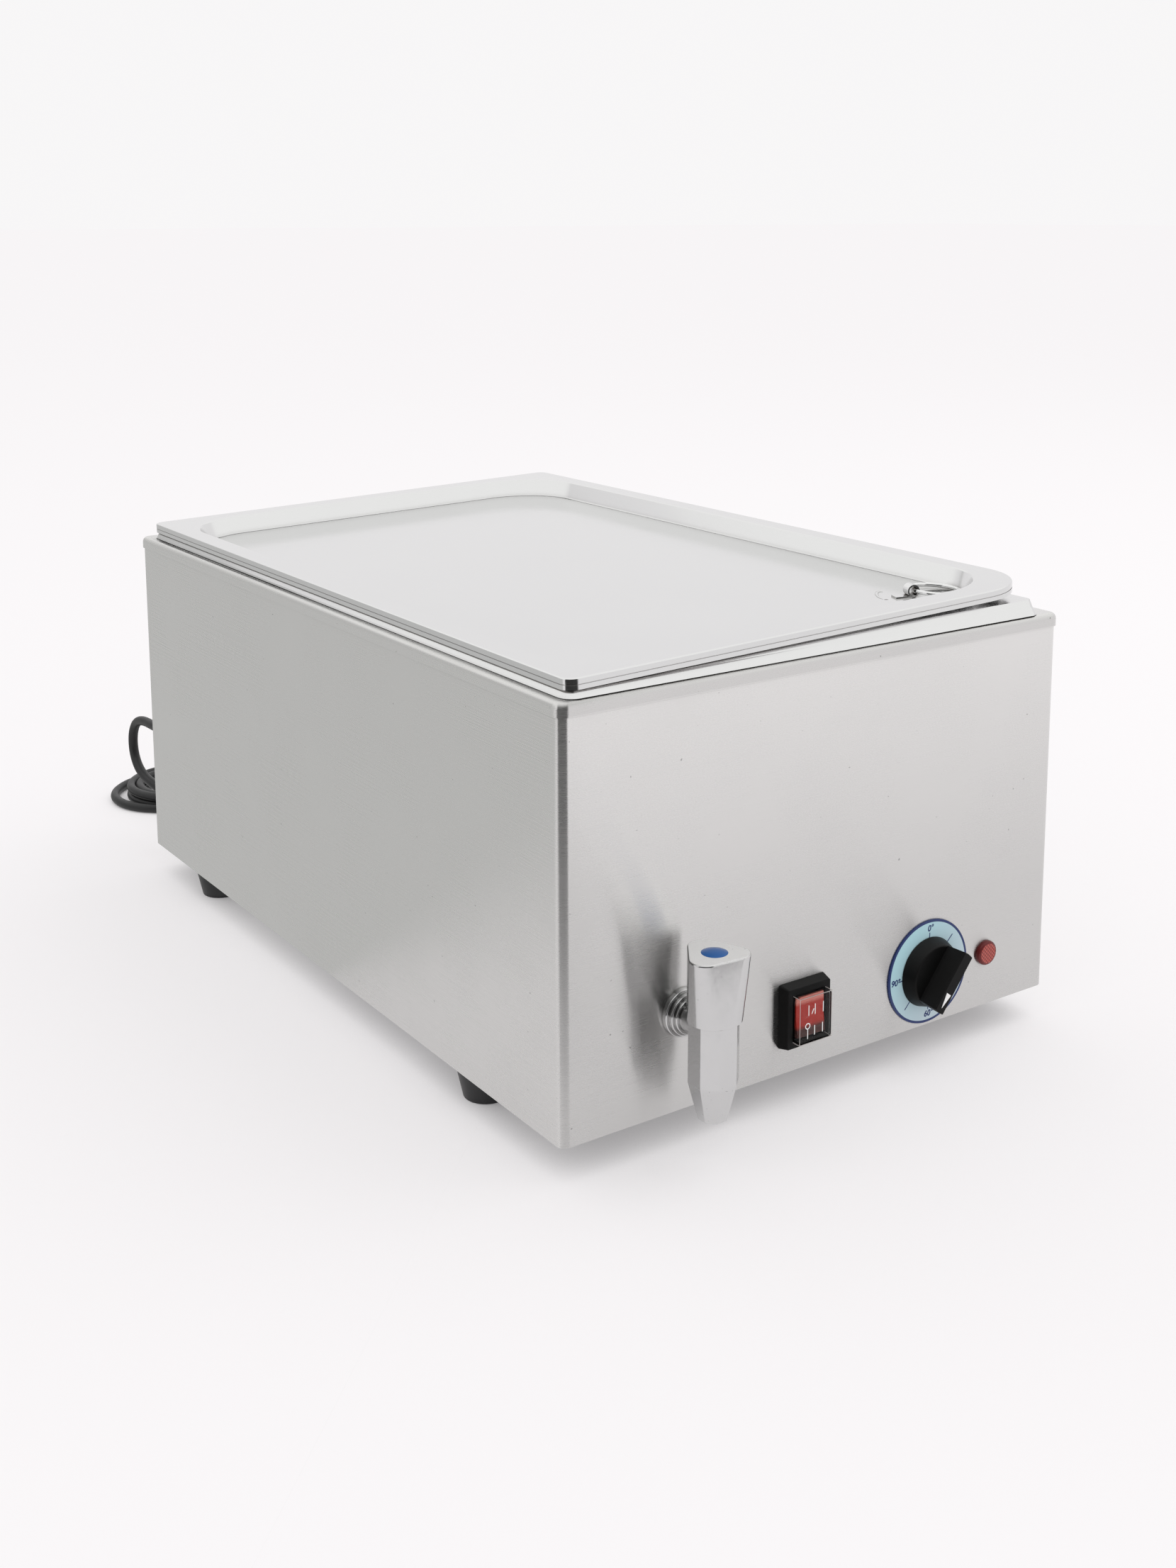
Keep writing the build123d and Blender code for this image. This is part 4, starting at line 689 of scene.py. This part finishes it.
def switch_marks():
    """White strokes and one ring on the clear cover of the switch."""
    low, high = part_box("switch_cover")
    face = Vector(((low.x + high.x) / 2, low.y, high.z))
    marks = Print(face)
    for x in (-5.0, -0.6, 5.0):
        marks.bar((x, -4.6), (x, -10.4), STROKE)
    marks.bar((-2.9, -9.8), (-1.5, -7.1), STROKE)
    for x, top in ((-5.6, -17.8), (-0.8, -16.6), (4.7, -16.3)):
        marks.bar((x, top), (x, top - 5.4), STROKE)
    marks.ring(-5.6, -16.1, 1.25, 1.25 + STROKE, 32)
    marks.finish("switch_marks", "base", materials["white_paint"])


def cover_rims():
    """The edges of the clear cover, painted pale as a painted highlight: a frame round its front and four
    edges running back.
    """
    low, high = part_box("switch_cover")
    half = (high.x - low.x) / 2 / MM
    drop = (high.z - low.z) / MM
    depth = (high.y - low.y) / MM
    rims = Print(Vector(((low.x + high.x) / 2, low.y, high.z)))
    for x in (-half + RIM / 2, half - RIM / 2):
        rims.bar((x, 0.0), (x, -drop), RIM)
    for z in (-RIM / 2, -drop + RIM / 2):
        rims.bar((-half + RIM, z), (half - RIM, z), RIM)
    rims.finish("cover_rims", "base", edge_highlight)
    runs = Print(Vector(((low.x + high.x) / 2, low.y + depth * MM, high.z)), depth)
    for side in (-1, 1):
        for z in (0.03, -drop + 0.22):
            corners = ((0.05, z), (-0.2, z), (-0.2, z - 0.25), (0.05, z - 0.25))
            runs.patch([(side * (half + x), level) for x, level in corners][::side])
    runs.finish("cover_edges", "base", edge_highlight)


DENT_FROM_DEG, DENT_SWEEP_DEG = 60.0, 190.0
DENT_THIN, DENT_SWELL = 0.2 * MM, 0.9 * MM
DENT_FLATNESS = 0.7
ABOVE_LID_Z = 0.5


def lid_dent():
    """A small crescent ridge pressed up in the sunk middle of the lid, thin at its ends."""
    lid = nodes["lid"]
    turns, sides = 18, 8
    verts = []
    for turn in range(turns + 1):
        part = turn / turns
        angle = radians(DENT_FROM_DEG + DENT_SWEEP_DEG * part)
        thick = DENT_THIN + DENT_SWELL * sin(pi * part)
        reach = Vector((cos(angle), sin(angle), 0))
        spot = DENT_AT + DENT_ACROSS * cos(angle) + DENT_ALONG * sin(angle)
        _, place, _, _ = lid.ray_cast(Vector((spot.x, spot.y, ABOVE_LID_Z)), Vector((0, 0, -1)))
        for side in range(sides):
            swing = 2 * pi * side / sides
            lift = Vector((0, 0, sin(swing) * thick * DENT_FLATNESS))
            verts.append(place + reach * cos(swing) * thick + lift)
    faces = []
    for turn in range(turns):
        for side in range(sides):
            after = (side + 1) % sides
            here, there = turn * sides, (turn + 1) * sides
            faces.append((here + side, here + after, there + after, there + side))
    faces.append(tuple(range(sides - 1, -1, -1)))
    faces.append(tuple(range(turns * sides, turns * sides + sides)))
    dent = ride_mesh("lid_dent", verts, faces, "lid_body", materials["polished_stainless"])
    for polygon in dent.data.polygons:
        polygon.use_smooth = True


dial_marks()
switch_marks()
cover_rims()
lid_dent()


# ------------------------------------------------------------------ studio
FLOOR = (0.501, 0.492, 0.496)
FLOOR_GLOW = 0.93
FLOOR_REACH = 40.0
PAINTED_SHADOW_REACH = 0.045
AIR = (0.935, 0.925, 0.93)
KEY_OFFSET = Vector((1.6, -0.6, 2.6))
KEY_SIZE = (2.4, 2.4)
KEY_POWER = 12.0
SECTOR_STEPS = 24
CARD_LOW = 0.002
ROOF_Z = 1.952
DARK = 0.035
DARK_R = 2.2
GREY_R = 2.6


def area_light(name, place, target, size, power):
    """A soft rectangular light that looks at a point and isn't seen in reflections."""
    data = bpy.data.lights.new(name, "AREA")
    data.shape = "RECTANGLE"
    data.size, data.size_y = size
    data.energy = power
    lamp = bpy.data.objects.new(name, data)
    lamp.location = place
    lamp.rotation_euler = (Vector(target) - Vector(place)).to_track_quat("-Z", "Y").to_euler()
    lamp.visible_glossy = False
    bpy.context.scene.collection.objects.link(lamp)
    return lamp


def make_floor():
    """A wide pale floor, lit partly from below, with a painted shadow: the light it gives off is darkened
    where the bath shelters it.
    """
    mesh = bpy.data.meshes.new("floor")
    far = FLOOR_REACH
    mesh.from_pydata([(-far, -far, 0), (far, -far, 0), (far, far, 0), (-far, far, 0)], [], [(0, 1, 2, 3)])
    floor = bpy.data.objects.new("floor", mesh)
    bpy.context.scene.collection.objects.link(floor)
    surface = Surface("floor_paint", FLOOR, 0.0, 0.9)
    surface.colour_from(surface.tint(surface.noise(3.0), shade(FLOOR, 0.998), shade(FLOOR, 1.002)))
    surface.set("Specular IOR Level", 0.0)
    # Painted shadow: the light the floor gives off is darkened near the bath, where it is sheltered.
    shelter = surface.node("ShaderNodeAmbientOcclusion", samples=8, Distance=PAINTED_SHADOW_REACH)
    open_sky = surface.spread(shelter.outputs["AO"], 0.0, 1.0, 0.05, 0.60)
    surface.link(surface.tint(open_sky, shade(FLOOR, 0.25), FLOOR), surface.shader.inputs["Emission Color"])
    surface.set("Emission Strength", FLOOR_GLOW)
    mesh.materials.append(surface.material)


def make_world():
    """Even pale surroundings."""
    world = bpy.data.worlds.new("studio")
    bpy.context.scene.world = world
    world.use_nodes = True
    background = world.node_tree.nodes["Background"]
    background.inputs["Color"].default_value = (*AIR, 1.0)
    background.inputs["Strength"].default_value = 1.0


def card(name, verts, faces, tone):
    """A flat or curved studio card that only mirrors and brushed metal pick up."""
    mesh = bpy.data.meshes.new(name)
    mesh.from_pydata(verts, [], faces)
    panel = bpy.data.objects.new(name, mesh)
    bpy.context.scene.collection.objects.link(panel)
    surface = Surface(name, (0, 0, 0))
    surface.set("Specular IOR Level", 0.0)
    surface.set("Emission Color", (tone, tone, tone * 0.99, 1.0))
    surface.set("Emission Strength", 1.0)
    mesh.materials.append(surface.material)
    panel.visible_camera = False
    panel.visible_diffuse = False
    panel.visible_transmission = False
    panel.visible_shadow = False


def sector(name, start, end, inner, outer, tone, rise=None, low=CARD_LOW):
    """Part of a level ring round the bath, or of an upright drum when a rise is given.

    The angles are in degrees from the front, positive to the right.
    """
    verts = []
    for step in range(SECTOR_STEPS + 1):
        angle = radians(start + (end - start) * step / SECTOR_STEPS)
        for r, z in ((inner, low if rise is None else 0.0), (outer, low if rise is None else rise)):
            verts.append((r * sin(angle), body_mid.y - r * cos(angle), z))
    faces = [(2 * k, 2 * k + 1, 2 * k + 3, 2 * k + 2) for k in range(SECTOR_STEPS)]
    card(name, verts, faces, tone)


make_floor()
make_world()
centre = casing(0, 0, AIM_HEIGHT)
area_light("key", centre + KEY_OFFSET, centre, KEY_SIZE, KEY_POWER)
sector("dark_floor", -75.0, 5.0, 0.55, DARK_R, DARK)
sector("dark_wall", -75.0, 14.0, DARK_R, DARK_R, DARK, rise=1.9)
sector("grey_floor", -175.0, -95.0, 0.05, GREY_R, 0.65)
sector("grey_wall", -175.0, -95.0, GREY_R, GREY_R, 0.60, rise=1.2)
sector("bright_roof", -180.0, 180.0, 0.01, 3.8, 1.08, low=ROOF_Z)
